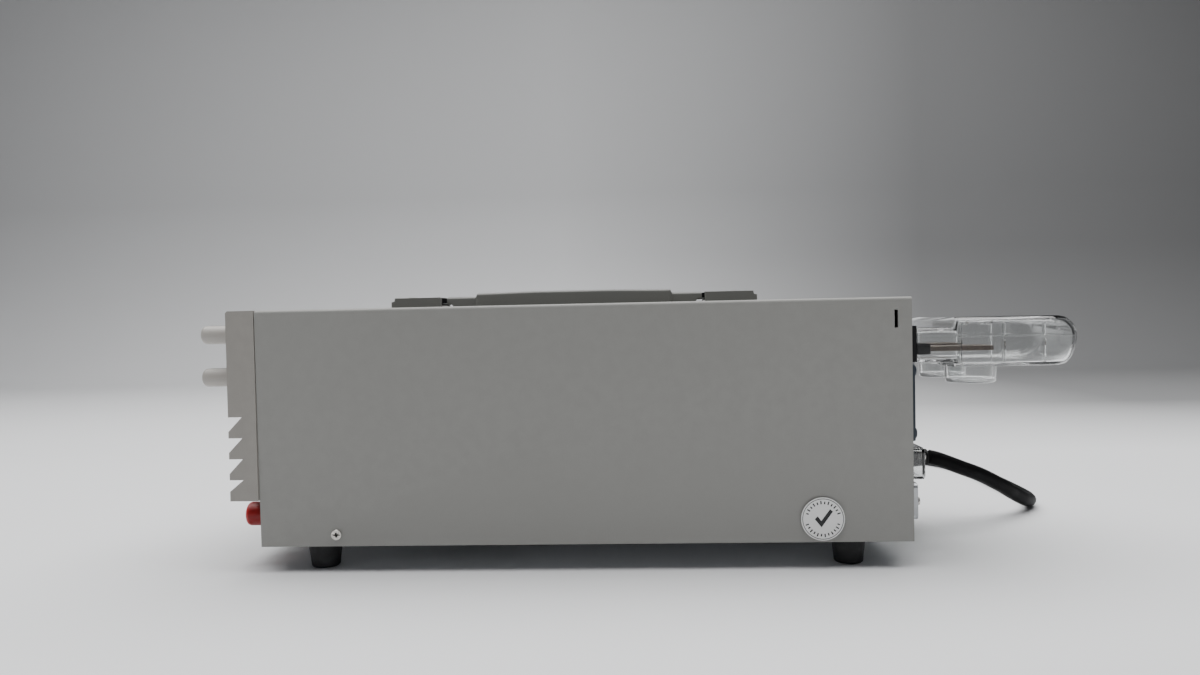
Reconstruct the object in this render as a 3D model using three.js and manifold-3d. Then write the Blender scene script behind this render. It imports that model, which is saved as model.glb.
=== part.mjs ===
// A compact bench power supply as an assembly of separate parts, in millimetres, +Z up.
// The front panel faces -Y and the unit's right-hand side faces +X. The ground is z = 0.
// Depths are counted from the front edge of the top cover, and the whole assembly is then
// moved along Y so that its origin lies under the middle of the unit.

import * as THREE from "three";
import { mergeVertices } from "three/addons/utils/BufferGeometryUtils.js";
import Module from "manifold-3d";

const wasm = await Module();
wasm.setup();

// ---------------------------------------------------------------- driving dimensions

const CASE_WIDTH = 142.5; // a third of a 19-inch rack
const CASE_HEIGHT = 124;
const COVER_LENGTH = 337.4;
const FOOT_HEIGHT = 14;
const SHEET = 1.2; // sheet metal thickness
const COVER_RADIUS = 1.8; // bend along the cover's top edges
const BEZEL_DEPTH = 15.4;
const BEZEL_WALL = 2.5;
const SEAT = 0.1; // between faces that rest on each other
const GAP = 0.3; // between a piece and the opening it sits in
const REVEAL = { width: 0.45, depth: 0.9 }; // shadow line between the bezel and the cover

const LOUVRE = { top: 68.5, pitch: 11, count: 4, depth: 7.3, land: 3.4, bottom: 24.4 };
const KNOB = { x: 56.25, heights: [111.6, 88.7], radius: 4.95, tip: 34.6 };
const SHAFT_RADIUS = 2;
const POST = { height: 11.9, radius: 6.5, tip: 18.2, stud: 3, nearX: 43.25, pitch: 19 };
const ROCKER = { x: -48, height: 12.2, tilt: 9, pivotY: 1 };
const DISPLAY = { x: [-60, 6], z: [92, 116] };

const FOOT = { inset: 17, front: 28.5, rear: 307.8, topRadius: 9, bottomRadius: 7.5 };
const SCREW = { front: 40.3, rear: 291.5, height: 6.2, head: 2.7, shank: 1.5, length: 7 };
const SLIT = { y: 329.6, z: [108.5, 117.5], width: 1.8 };

const HANDLE = {
  frontCap: [56.1, 84.8],
  strap: [87.9, 236.7],
  rearCap: [238.4, 267.9],
  grip: [105, 219.4],
  capWidth: 28,
  gripWidth: 24,
  bandWidth: 19,
  capHeight: 6.5,
  bandHeight: 6.7,
  gripHeight: 9.2,
  under: 1.3,
};

const FAN = { x: 46, height: 70, size: 40, depth: 20, bore: 18.6, hub: 8.8, holes: 16 };
const OUTPUT = { x: [-20, 56], z: [90, 109], proud: 7, boss: 7.9, bars: [-4, 40], barEnd: 386.7 };
const BAR = { width: 20, z: [95.3, 97.8], start: 300, hole: 4.25, holeY: 378.2 };
const COVER = {
  wall: 2,
  seam: 102.3,
  neck: [89.3, 107.8],
  body: [87, 113],
  step: 364,
  end: 432.5,
  nose: 12,
  corner: 18,
};
const DOME = { radius: 13.25, bottom: 78 };
const INLET = { x: [-40, 6], z: [19, 37.5], end: 364, wall: 1.6 };
const CONNECTOR = { x: [28, 58], z: [8, 27], proud: 6 };

const CORD_RADIUS = 4.5;
const CORD_EXIT = { x: -24, y: 374, z: 41.5 };
const COIL = { x: -200, y: 352, turn: 50, half: 13.5, height: 17 };
// The mains lead from the end of its strain relief to the coil, chosen by hand.
const CORD_ROUTE = [
  [-24, 375.2, 41.5],
  [-24.3, 379, 40.6],
  [-25.4, 384, 38.9],
  [-28.5, 395.7, 34.2],
  [-33, 409.5, 28.6],
  [-40, 424.4, 20.8],
  [-46.5, 434.2, 14.9],
  [-56, 445.4, 8.8],
  [-69, 454.5, 5.3],
  [-85, 458, 4.6],
  [-110, 459.3, 4.6],
  [-140, 460, 4.6],
  [-172, 460, 4.6],
  [-200, 457.3, 4.6],
  [-226, 449.5, 4.6],
  [-246, 435, 4.6],
  [-256.5, 416, 4.6],
  [-259, 400, 4.6],
  [-259, 385.8, 4.6],
];

// ------------------------------------------------------------------- derived places

const HALF_WIDTH = CASE_WIDTH / 2;
const FLOOR_Z = FOOT_HEIGHT; // underside of the case
const ROOF_Z = FOOT_HEIGHT + CASE_HEIGHT;
const PANEL_HALF = HALF_WIDTH - SHEET - 0.55; // half-width of the flat inner panels
const REAR_FACE = COVER_LENGTH - 2; // the rear panel sits a little inside the cover
const REAR_INNER = REAR_FACE - SHEET;
const FRONT_FACE = 0.6; // front of the metal subpanel
const BOARD_FRONT = -4.4; // component side of the front panel board
const WALL_BACK = -BEZEL_DEPTH + BEZEL_WALL; // inner side of the bezel's front wall
const REAR_END = COVER.end;
const MIDDLE_Y = (REAR_END - KNOB.tip) / 2;
const MAIN_BOARD_Z = FLOOR_Z + 8.1;
const BOARD_THICKNESS = 1.6;

/** A height measured from the underside of the case, as a height above the ground. */
const up = (height) => FLOOR_Z + height;
const span = (range) => range.map(up);
const around = (centre, half) => [centre - half, centre + half];

// ------------------------------------------------------------------------ materials

const paint = (color, roughness, metalness = 0) =>
  new THREE.MeshStandardMaterial({ color, roughness, metalness });

const MATERIALS = {
  caseGrey: paint(0xc9c8c2, 0.55),
  bezelGrey: paint(0xcfccc4, 0.6),
  zinc: paint(0xb9bcbd, 0.4, 0.8),
  window: paint(0x241c1c, 0.15),
  darkPlastic: paint(0x1b1c1e, 0.5),
  board: paint(0x1d5a3a, 0.55),
  knobGrey: paint(0xd4d1c9, 0.5),
  keyGrey: paint(0x8e8f8c, 0.55),
  redPlastic: paint(0xb0201c, 0.35),
  whitePlastic: paint(0xe4e2dc, 0.4),
  greenPlastic: paint(0x1e7a3c, 0.35),
  nickel: paint(0xc8c6c0, 0.25, 1),
  strapGrey: paint(0x7f807b, 0.6),
  rubber: paint(0x1f2022, 0.85),
  guardBlue: paint(0x2a3036, 0.5),
  aluminium: paint(0xb4b7ba, 0.4, 0.9),
  ferrite: paint(0x35363a, 0.7),
  copper: paint(0xb87333, 0.35, 0.9),
  sleeve: paint(0x23303f, 0.4),
  clear: new THREE.MeshStandardMaterial({
    color: 0xeef2f3,
    roughness: 0.05,
    transparent: true,
    opacity: 0.3,
  }),
  cord: paint(0x0c0c0d, 0.6),
  plugGrey: paint(0x8a8c8c, 0.55),
};

// -------------------------------------------------------------------- shape helpers

/** A closed geometry as a solid that can be joined and cut. */
function solid(geometry) {
  const bare = geometry.clone();
  bare.deleteAttribute("normal");
  bare.deleteAttribute("uv");
  const merged = mergeVertices(bare, 1e-4);
  return new wasm.Manifold(
    new wasm.Mesh({
      numProp: 3,
      vertProperties: merged.attributes.position.array,
      triVerts: new Uint32Array(merged.index.array),
    }),
  );
}

const join = (...solids) => solids.reduce((whole, piece) => whole.add(piece));
const cut = (base, ...tools) => tools.reduce((rest, tool) => rest.subtract(tool), base);

/** The solid's triangles as a geometry with flat shading normals. */
function geometryOf(made) {
  const mesh = made.getMesh();
  const indexed = new THREE.BufferGeometry();
  indexed.setAttribute("position", new THREE.BufferAttribute(mesh.vertProperties, 3));
  indexed.setIndex(new THREE.BufferAttribute(mesh.triVerts, 1));
  const flat = indexed.toNonIndexed();
  flat.computeVertexNormals();
  return flat;
}

/** A box between two values on each axis. */
function block(x, y, z) {
  const geometry = new THREE.BoxGeometry(x[1] - x[0], y[1] - y[0], z[1] - z[0]);
  geometry.translate((x[0] + x[1]) / 2, (y[0] + y[1]) / 2, (z[0] + z[1]) / 2);
  return solid(geometry);
}

const AXIS_TURN = {
  x: new THREE.Matrix4().makeRotationZ(-Math.PI / 2),
  y: new THREE.Matrix4(),
  z: new THREE.Matrix4().makeRotationX(Math.PI / 2),
};

/** Enough flats for a round surface of this radius. */
const flatsFor = (radius) => (radius > 10 ? 32 : radius > 3.3 ? 20 : 12);

/** A round bar or cone along an axis, from one station to the other. */
function rod(axis, radius, ends, centre, { endRadius = radius, sides = flatsFor(radius) } = {}) {
  const length = ends[1] - ends[0];
  const geometry = new THREE.CylinderGeometry(endRadius, radius, length, sides);
  geometry.applyMatrix4(AXIS_TURN[axis]);
  const middle = (ends[0] + ends[1]) / 2;
  const at = {
    x: [middle, centre[0], centre[1]],
    y: [centre[0], middle, centre[1]],
    z: [centre[0], centre[1], middle],
  }[axis];
  geometry.translate(...at);
  return solid(geometry);
}

/** A profile of [radius, station] points turned about an axis, its faces pointing out. */
function turned(axis, profile, sides = 20) {
  const points = profile.map(([radius, station]) => new THREE.Vector2(radius, station));
  const ordered = THREE.ShapeUtils.isClockWise(points) ? points.reverse() : points;
  const geometry = new THREE.LatheGeometry(ordered, sides);
  geometry.applyMatrix4(AXIS_TURN[axis]);
  return solid(geometry);
}

const outline = (points) => new THREE.Shape(points.map(([u, v]) => new THREE.Vector2(u, v)));

/** A rectangle whose four corners are rounded with a common radius. */
function roundedRectangle(u, v, radius) {
  const shape = new THREE.Shape();
  shape.absarc(u[1] - radius, v[0] + radius, radius, -Math.PI / 2, 0);
  shape.absarc(u[1] - radius, v[1] - radius, radius, 0, Math.PI / 2);
  shape.absarc(u[0] + radius, v[1] - radius, radius, Math.PI / 2, Math.PI);
  shape.absarc(u[0] + radius, v[0] + radius, radius, Math.PI, (3 * Math.PI) / 2);
  return shape;
}

const X_AXIS = new THREE.Vector3(1, 0, 0);
const Y_AXIS = new THREE.Vector3(0, 1, 0);
const Z_AXIS = new THREE.Vector3(0, 0, 1);

/** A closed outline pushed along one axis. It is drawn in YZ, XZ or XY for the axis x, y or z. */
function pushed(axis, shape, ends, curveSegments = 5) {
  const depth = ends[1] - ends[0];
  const geometry = new THREE.ExtrudeGeometry(shape, { depth, bevelEnabled: false, curveSegments });
  if (axis === "x") {
    geometry.applyMatrix4(new THREE.Matrix4().makeBasis(Y_AXIS, Z_AXIS, X_AXIS));
    geometry.translate(ends[0], 0, 0);
  } else if (axis === "y") {
    const backwards = Y_AXIS.clone().negate();
    geometry.applyMatrix4(new THREE.Matrix4().makeBasis(X_AXIS, Z_AXIS, backwards));
    geometry.translate(0, ends[1], 0);
  } else {
    geometry.translate(0, 0, ends[0]);
  }
  return solid(geometry);
}

// ------------------------------------------------------------------------- assembly

const unit = new THREE.Group();
unit.position.y = -MIDDLE_Y;

/** Adds a solid to the unit as a named part, and moves it to its place. */
function part(name, material, made, place = [0, 0, 0]) {
  const mesh = new THREE.Mesh(geometryOf(made), MATERIALS[material]);
  mesh.name = name;
  mesh.position.set(...place);
  unit.add(mesh);
  return mesh;
}

// ------------------------------------------------------------- casing: sheet metal

/** The outline, across the unit, of a sheet bent down at both sides. */
function coverOutline() {
  const inner = COVER_RADIUS - SHEET;
  const right = HALF_WIDTH - COVER_RADIUS;
  const top = ROOF_Z - COVER_RADIUS;
  const shape = new THREE.Shape();
  shape.moveTo(HALF_WIDTH, FLOOR_Z);
  shape.absarc(right, top, COVER_RADIUS, 0, Math.PI / 2);
  shape.absarc(-right, top, COVER_RADIUS, Math.PI / 2, Math.PI);
  shape.lineTo(-HALF_WIDTH, FLOOR_Z);
  shape.lineTo(-HALF_WIDTH + SHEET, FLOOR_Z);
  shape.absarc(-right, top, inner, Math.PI, Math.PI / 2, true);
  shape.absarc(right, top, inner, Math.PI / 2, 0, true);
  shape.lineTo(HALF_WIDTH - SHEET, FLOOR_Z);
  return shape;
}

const SCREW_PLACES = [-1, 1].flatMap((side) =>
  [SCREW.front, SCREW.rear].map((y) => ({ side, y, z: up(SCREW.height) })),
);

/** The countersink and clearance hole for one cover screw, cut from outside. */
function countersink({ side, y, z }) {
  const hole = rod("x", SCREW.shank + GAP, [HALF_WIDTH - 2 * SHEET, HALF_WIDTH + 1], [y, z]);
  const sink = rod("x", SCREW.shank + GAP, [HALF_WIDTH - SHEET, HALF_WIDTH], [y, z], {
    endRadius: SCREW.head + GAP / 2,
  });
  const made = join(hole, sink);
  return side > 0 ? made : made.mirror([1, 0, 0]);
}

function topCover() {
  const sheet = pushed("y", coverOutline(), [0, COVER_LENGTH], 4);
  const slit = block(
    around(0, HALF_WIDTH + 1),
    around(SLIT.y, SLIT.width / 2),
    span(SLIT.z),
  );
  return cut(sheet, slit, ...SCREW_PLACES.map(countersink));
}

/** Bottom plate with upright flanges inside the cover, board pillars and screw nuts. */
function chassisBase() {
  const half = HALF_WIDTH - SHEET - GAP;
  const flangeTop = FLOOR_Z + 18;
  const ends = [2.2, REAR_INNER - GAP];
  const tray = cut(
    block(around(0, half), ends, [FLOOR_Z, flangeTop]),
    block(around(0, half - SHEET), [ends[0] - 1, ends[1] + 1], [FLOOR_Z + SHEET, flangeTop + 1]),
  );
  const pillarTop = MAIN_BOARD_Z - SEAT;
  const pillars = [-54, 54].flatMap((x) =>
    [34, 158, 288].map((y) => rod("z", 3, [FLOOR_Z + SHEET / 2, pillarTop], [x, y])),
  );
  const nutLength = 4;
  const nuts = SCREW_PLACES.map(({ side, y, z }) => {
    const nut = rod("x", 3.3, [half - SHEET - nutLength, half - SHEET / 2], [y, z]);
    return side > 0 ? nut : nut.mirror([1, 0, 0]);
  });
  const nutHoles = SCREW_PLACES.map(({ side, y, z }) => {
    const hole = rod("x", SCREW.shank + GAP, [half - 10, half + 1], [y, z]);
    return side > 0 ? hole : hole.mirror([1, 0, 0]);
  });
  const slotLength = 44;
  const slots = [-26, 26].flatMap((x) =>
    [70, 82, 94, 106, 118, 130].map((y) =>
      block(around(x, slotLength / 2), around(y, 2), [FLOOR_Z - 1, FLOOR_Z + SHEET + 1]),
    ),
  );
  return cut(join(tray, ...pillars, ...nuts), ...nutHoles, ...slots);
}

const flatPanel = (y) => block(around(0, PANEL_HALF), y, [FLOOR_Z + 1.5, ROOF_Z - 2.1]);

function rearPanel() {
  const through = [REAR_INNER - 1, REAR_FACE + 1];
  const [fanX, fanZ] = [FAN.x, up(FAN.height)];
  const fanHoles = [-1, 1].flatMap((i) =>
    [-1, 1].map((k) => rod("y", 1.8, through, [fanX + i * FAN.holes, fanZ + k * FAN.holes])),
  );
  const vents = [-44, -12].flatMap((x) =>
    [44, 51, 58, 65, 72, 79].map((z) => block(around(x, 14), through, around(up(z), 1.6))),
  );
  return cut(
    flatPanel([REAR_INNER, REAR_FACE]),
    rod("y", FAN.bore, through, [fanX, fanZ]),
    ...fanHoles,
    ...vents,
    block(outputThroat().x, through, outputThroat().z),
    block(inletThroat().x, through, inletThroat().z),
    block(connectorThroat().x, through, connectorThroat().z),
  );
}

/** Openings in the rear panel for the parts that pass through it. */
function outputThroat() {
  return { x: [OUTPUT.x[0] + 2, OUTPUT.x[1] - 2], z: [up(OUTPUT.z[0] + 2), up(OUTPUT.z[1] - 2)] };
}
function inletThroat() {
  return { x: [INLET.x[0] + 4, INLET.x[1] - 4], z: [up(INLET.z[0] + 2.5), up(INLET.z[1] - 5)] };
}
function connectorThroat() {
  return {
    x: [CONNECTOR.x[0] + 3, CONNECTOR.x[1] - 3],
    z: [up(CONNECTOR.z[0] + 3), up(CONNECTOR.z[1] - 3)],
  };
}

/** The same opening, smaller by the running gap on every side. */
const inside = ({ x, z }) => ({ x: [x[0] + GAP, x[1] - GAP], z: [z[0] + GAP, z[1] - GAP] });

const ROCKER_OPENING = { x: around(ROCKER.x, 6.6), z: around(up(ROCKER.height), 9.6) };
const POSTS = [
  { name: "positive_post", material: "redPlastic", x: POST.nearX },
  { name: "ground_post", material: "greenPlastic", x: POST.nearX - POST.pitch },
  { name: "negative_post", material: "whitePlastic", x: POST.nearX - 2 * POST.pitch },
];

function frontSubpanel() {
  const through = [FRONT_FACE - 1, FRONT_FACE + SHEET + 1];
  const postHoles = POSTS.map(({ x }) => rod("y", POST.stud + GAP, through, [x, up(POST.height)]));
  const intake = [-44, -14.5, 14.5, 44].map((x) =>
    block(around(x, 13), through, span([LOUVRE.bottom + 3, LOUVRE.top])),
  );
  return cut(
    flatPanel([FRONT_FACE, FRONT_FACE + SHEET]),
    ...postHoles,
    ...intake,
    block(ROCKER_OPENING.x, through, ROCKER_OPENING.z),
    block(around(0, 62), through, span([LOUVRE.top + 6, CASE_HEIGHT - 6])),
  );
}

part("top_cover", "caseGrey", topCover());
part("chassis_base", "zinc", chassisBase());
part("rear_panel", "caseGrey", rearPanel());
part("front_subpanel", "caseGrey", frontSubpanel());

SCREW_PLACES.forEach(({ side, y, z }) => {
  const headEnd = HALF_WIDTH - SEAT / 2;
  const head = rod("x", SCREW.shank, [headEnd - SHEET, headEnd], [y, z], {
    endRadius: SCREW.head,
  });
  const shank = rod("x", SCREW.shank, [headEnd - SCREW.length, headEnd - SHEET / 2], [y, z]);
  const made = join(head, shank);
  const name = `cover_screw_${side > 0 ? "right" : "left"}_${y === SCREW.front ? "front" : "rear"}`;
  part(name, "nickel", side > 0 ? made : made.mirror([1, 0, 0]));
});

// ------------------------------------------------------------------- casing: bezel

/** The bezel's side outline in YZ: a straight face above, sawtooth louvres below. */
function bezelOutline() {
  const back = -SEAT;
  const face = -BEZEL_DEPTH;
  const points = [
    [back, ROOF_Z],
    [face + 1, ROOF_Z],
    [face, ROOF_Z - 1],
  ];
  for (let tooth = 0; tooth < LOUVRE.count; tooth += 1) {
    const undercut = up(LOUVRE.top - tooth * LOUVRE.pitch);
    const last = tooth === LOUVRE.count - 1;
    const drop = last ? LOUVRE.depth - 1.3 : LOUVRE.pitch - LOUVRE.land;
    points.push([face, undercut], [face + LOUVRE.depth, undercut], [face, undercut - drop]);
  }
  points.push([face, up(LOUVRE.bottom)], [back, up(LOUVRE.bottom)]);
  return outline(points.reverse());
}

const KEYS = [
  { name: "set_key", material: "keyGrey", x: -50, z: 81, width: 12, height: 6.5 },
  { name: "limit_key", material: "keyGrey", x: -27, z: 81, width: 12, height: 6.5 },
  { name: "lock_key", material: "keyGrey", x: -4, z: 81, width: 12, height: 6.5 },
  { name: "output_key", material: "whitePlastic", x: 29, z: 99, width: 16, height: 12 },
];

/** The strip cut from the bezel's outer back edge, so that a dark line parts it from the cover. */
function revealCut() {
  const outer = block(around(0, HALF_WIDTH + 1), [-REVEAL.width, 1], [0, ROOF_Z + 1]);
  const kept = block(around(0, HALF_WIDTH - REVEAL.depth), [-2, 2], [-1, ROOF_Z - REVEAL.depth]);
  return cut(outer, kept);
}

function frontBezel() {
  const inner = HALF_WIDTH - BEZEL_WALL;
  const wall = [-BEZEL_DEPTH - 1, WALL_BACK + 1];
  const pocket = block(around(0, inner), [WALL_BACK, 1], span([LOUVRE.top + 4.5, CASE_HEIGHT - 2.5]));
  const plenum = block(around(0, inner), [-5, 1], span([LOUVRE.bottom + 3, LOUVRE.top + 1]));
  const inlets = [];
  for (let tooth = 0; tooth < LOUVRE.count; tooth += 1) {
    const undercut = up(LOUVRE.top - tooth * LOUVRE.pitch);
    for (const x of [-54, -27, 0, 27, 54]) {
      inlets.push(block(around(x, 12), [-12, -4], [undercut - 3.4, undercut - 0.6]));
    }
  }
  const keyHoles = KEYS.map(({ x, z, width, height }) =>
    block(around(x, width / 2 + GAP), wall, around(up(z), height / 2 + GAP)),
  );
  const bushHoles = KNOB.heights.map((z) => rod("y", 3.6, wall, [KNOB.x, up(z)]));
  return cut(
    pushed("x", bezelOutline(), around(0, HALF_WIDTH)),
    pocket,
    plenum,
    ...inlets,
    ...keyHoles,
    ...bushHoles,
    block(DISPLAY.x, wall, span(DISPLAY.z)),
    revealCut(),
  );
}

part("front_bezel", "bezelGrey", frontBezel());

// ------------------------------------------------------------------- front controls

part(
  "display_window",
  "window",
  block(
    [DISPLAY.x[0] + GAP, DISPLAY.x[1] - GAP],
    [-BEZEL_DEPTH + 0.3, WALL_BACK - 0.2],
    span([DISPLAY.z[0] + GAP, DISPLAY.z[1] - GAP]),
  ),
);
part(
  "display_module",
  "darkPlastic",
  block(
    [DISPLAY.x[0] + 3, DISPLAY.x[1] - 3],
    [WALL_BACK, BOARD_FRONT - SEAT],
    span([DISPLAY.z[0] + 1, DISPLAY.z[1] - 1]),
  ),
);

const SWITCH_FRONT = BOARD_FRONT - 3.5;

/** The front board with one tactile switch behind each key. */
function frontPanelBoard() {
  const board = block(around(0, 64), [BOARD_FRONT, BOARD_FRONT + BOARD_THICKNESS], span([74, 120.5]));
  const switches = KEYS.map(({ x, z }) =>
    block(around(x, 3), [SWITCH_FRONT, BOARD_FRONT + 0.5], around(up(z), 3)),
  );
  return join(board, ...switches);
}
part("front_panel_board", "board", frontPanelBoard());

/** A key cap with the flange that holds it behind the bezel. */
function keyCap({ width, height }) {
  const travelRoom = 1.5;
  const front = -BEZEL_DEPTH - 1.5;
  const back = SWITCH_FRONT - travelRoom;
  return join(
    block(around(0, width / 2), [front, back], around(0, height / 2)),
    block(around(0, width / 2 + 1), [WALL_BACK + 0.4, WALL_BACK + 1.4], around(0, height / 2 + 1)),
  );
}
KEYS.forEach((key) => part(key.name, key.material, keyCap(key), [key.x, 0, up(key.z)]));

/** The encoder's housing with its threaded bush, bored for the shaft. */
function encoder() {
  const front = -10.6;
  const housing = block(around(0, 6), [front, BOARD_FRONT - SEAT], around(0, 6));
  const bush = rod("y", 3.2, [-BEZEL_DEPTH - 0.1, front + 0.5], [0, 0]);
  const bore = rod("y", SHAFT_RADIUS + 0.1, [-BEZEL_DEPTH - 1, -6], [0, 0]);
  return cut(join(housing, bush), bore);
}

/** A slim knob with a rounded tip, bored from behind for the shaft. */
function knob() {
  const [tip, back, bore] = [-KNOB.tip, -BEZEL_DEPTH - 0.5, SHAFT_RADIUS + GAP];
  return turned("y", [
    [bore, back],
    [bore, tip + 3],
    [0, tip + 3],
    [0, tip],
    [KNOB.radius - 2.2, tip],
    [KNOB.radius - 0.7, tip + 0.7],
    [KNOB.radius, tip + 2.2],
    [KNOB.radius, back],
    [bore, back],
  ]);
}

["voltage", "current"].forEach((quantity, i) => {
  const place = [KNOB.x, 0, up(KNOB.heights[i])];
  part(`${quantity}_encoder`, "nickel", encoder(), place);
  part(`${quantity}_shaft`, "nickel", rod("y", SHAFT_RADIUS, [-KNOB.tip + 3.4, -6.4], [0, 0]), place);
  part(`${quantity}_knob`, "knobGrey", knob(), place);
});

/** The switch's housing: a flange on the panel, a body behind it, and the rocker's well. */
function switchBody() {
  const z = up(ROCKER.height);
  const flange = block(around(ROCKER.x, 7.6), [-1.4, FRONT_FACE - SEAT], around(z, 10.8));
  const body = block(around(ROCKER.x, 6.3), [-1, 16], around(z, 9.3));
  const well = block(around(ROCKER.x, 5), [-2, 7], around(z, 8));
  return cut(join(flange, body), well);
}
part("power_switch_body", "darkPlastic", switchBody());

/** The rocker in its middle position, about its own pivot. */
function rocker() {
  const profile = outline([
    [3, 0],
    [1, 7.2],
    [-4, 7.2],
    [-2.4, 0],
    [-4, -7.2],
    [1, -7.2],
  ]);
  return pushed("x", profile, around(0, 4.7));
}
const rockerMesh = part("power_rocker", "darkPlastic", rocker(), [
  ROCKER.x,
  ROCKER.pivotY,
  up(ROCKER.height),
]);
rockerMesh.rotation.x = THREE.MathUtils.degToRad(-ROCKER.tilt);

/** Collar and stud of a binding post, with the plug socket and the cross hole for a wire. */
function postBase() {
  const collarFront = -3.6;
  const studTip = -14;
  const socket = 2.05;
  const stud = turned("y", [
    [0, 12],
    [POST.stud, 12],
    [POST.stud, FRONT_FACE - SEAT],
    [POST.radius, FRONT_FACE - SEAT],
    [POST.radius, collarFront],
    [POST.stud, collarFront],
    [POST.stud, studTip],
    [socket, studTip],
    [socket, studTip + 6],
    [0, studTip + 6],
  ]);
  return cut(stud, rod("z", 1.1, [-POST.stud - 1, POST.stud + 1], [0, collarFront - 1.6]));
}

/** The screw cap that clamps a wire: a tube with an inward lip at its front. */
function postCap() {
  const [back, tip, bore, lip] = [-4, -POST.tip, POST.stud + 0.1, 2.4];
  const lipBack = tip + 3.2;
  return turned("y", [
    [bore, back],
    [bore, lipBack],
    [lip, lipBack],
    [lip, tip],
    [POST.radius - 1.2, tip],
    [POST.radius, tip + 1.5],
    [POST.radius, back],
    [bore, back],
  ]);
}

POSTS.forEach(({ name, material, x }) => {
  const place = [x, 0, up(POST.height)];
  part(`${name}_base`, "nickel", postBase(), place);
  part(`${name}_cap`, material, postCap(), place);
});

// ---------------------------------------------------------------------------- feet

const FEET = [-1, 1].flatMap((side) =>
  [FOOT.front, FOOT.rear].map((y) => ({
    name: `foot_${y === FOOT.front ? "front" : "rear"}_${side > 0 ? "right" : "left"}`,
    place: [side * (HALF_WIDTH - FOOT.inset), y, 0],
  })),
);

function foot() {
  const recess = 3.2;
  return turned("z", [
    [0, 7],
    [recess, 7],
    [recess, 0],
    [FOOT.bottomRadius - 0.8, 0],
    [FOOT.bottomRadius, 0.8],
    [FOOT.topRadius, FOOT_HEIGHT - SEAT],
    [0, FOOT_HEIGHT - SEAT],
  ]);
}
FEET.forEach(({ name, place }) => part(name, "rubber", foot(), place));

// -------------------------------------------------------------------------- handle

const TOP_SEAT = ROOF_Z + SEAT;

/** An end cap: stepped at its outer end, with a slot where the tongue slides. */
function handleCap([outer, mouth]) {
  const inward = Math.sign(mouth - outer);
  const top = ROOF_Z + HANDLE.capHeight;
  const profile = [
    [outer, TOP_SEAT],
    [outer, top - 2.2],
    [outer + inward * 1.7, top - 1.9],
    [outer + inward * 2.1, top],
    [mouth, top],
    [mouth, TOP_SEAT],
  ];
  const body = pushed("x", outline(inward > 0 ? profile.reverse() : profile), around(0, HANDLE.capWidth / 2));
  const slotEnd = mouth - inward * 23;
  const slotRange = [slotEnd, mouth + inward].sort((a, b) => a - b);
  return cut(body, block(around(0, 9.6), slotRange, [ROOF_Z + 0.9, ROOF_Z + 2.4]));
}

/** The steel tongue in a cap, which slides out towards the strap when the strap is lifted. */
function handleTongue([outer, mouth]) {
  const inward = Math.sign(mouth - outer);
  const range = [mouth - inward * 22, mouth - inward * 0.3].sort((a, b) => a - b);
  return block(around(0, 9), range, [ROOF_Z + 1.2, ROOF_Z + 2.1]);
}

/** The strap: narrow bands at both ends and a thicker, crowned grip between them. */
function handleStrap() {
  const [start, end] = HANDLE.strap;
  const [gripStart, gripEnd] = HANDLE.grip;
  const under = ROOF_Z + HANDLE.under;
  const bandTop = ROOF_Z + HANDLE.bandHeight;
  const gripTop = ROOF_Z + HANDLE.gripHeight;
  const middle = (start + end) / 2;
  const band = block(around(0, HANDLE.bandWidth / 2), HANDLE.strap, [under + 0.4, bandTop]);
  const grip = pushed(
    "x",
    outline([
      [gripStart, under],
      [gripEnd, under],
      [gripEnd, bandTop],
      [gripEnd - 1.2, gripTop - 0.8],
      [middle + 20, gripTop],
      [middle - 20, gripTop],
      [gripStart + 1.2, gripTop - 0.8],
      [gripStart, bandTop],
    ]),
    around(0, HANDLE.gripWidth / 2),
  );
  return join(band, grip);
}

const REAR_CAP = [HANDLE.rearCap[1], HANDLE.rearCap[0]];
part("handle_cap_front", "strapGrey", handleCap(HANDLE.frontCap));
part("handle_cap_rear", "strapGrey", handleCap(REAR_CAP));
part("handle_tongue_front", "nickel", handleTongue(HANDLE.frontCap));
part("handle_tongue_rear", "nickel", handleTongue(REAR_CAP));
part("handle_strap", "strapGrey", handleStrap());

// ----------------------------------------------------------------------------- fan

const FAN_BACK = REAR_INNER - GAP; // the frame sits against the inside of the rear panel
const FAN_PLACE = [FAN.x, FAN_BACK, up(FAN.height)];
const FAN_CORNERS = [-1, 1].flatMap((i) => [-1, 1].map((k) => [i * FAN.holes, k * FAN.holes]));

/** Bars from a hub out to a ring, in the plane across Y. */
function spokes(count, inner, outer, width, ends) {
  return Array.from({ length: count }, (_, i) =>
    block([inner, outer], ends, around(0, width / 2)).rotate([0, (360 / count) * i + 45, 0]),
  );
}

/** The fan's square housing with its bore, and the motor carrier on four struts. */
function fanFrame() {
  const half = FAN.size / 2;
  const housing = cut(
    pushed("y", roundedRectangle([-half, half], [-half, half], 2), [-FAN.depth, 0], 3),
    rod("y", FAN.bore, [-FAN.depth - 1, 1], [0, 0]),
    ...FAN_CORNERS.map((corner) => rod("y", 1.8, [-FAN.depth - 1, 1], corner)),
  );
  const carrier = rod("y", 8.4, [-2.8, -0.2], [0, 0]);
  const struts = spokes(4, 6, FAN.bore + 0.8, 2, [-2.8, -0.6]);
  const bearing = rod("y", 1.3, [-4, 1], [0, 0]);
  return cut(join(housing, carrier, ...struts), bearing);
}

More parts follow.
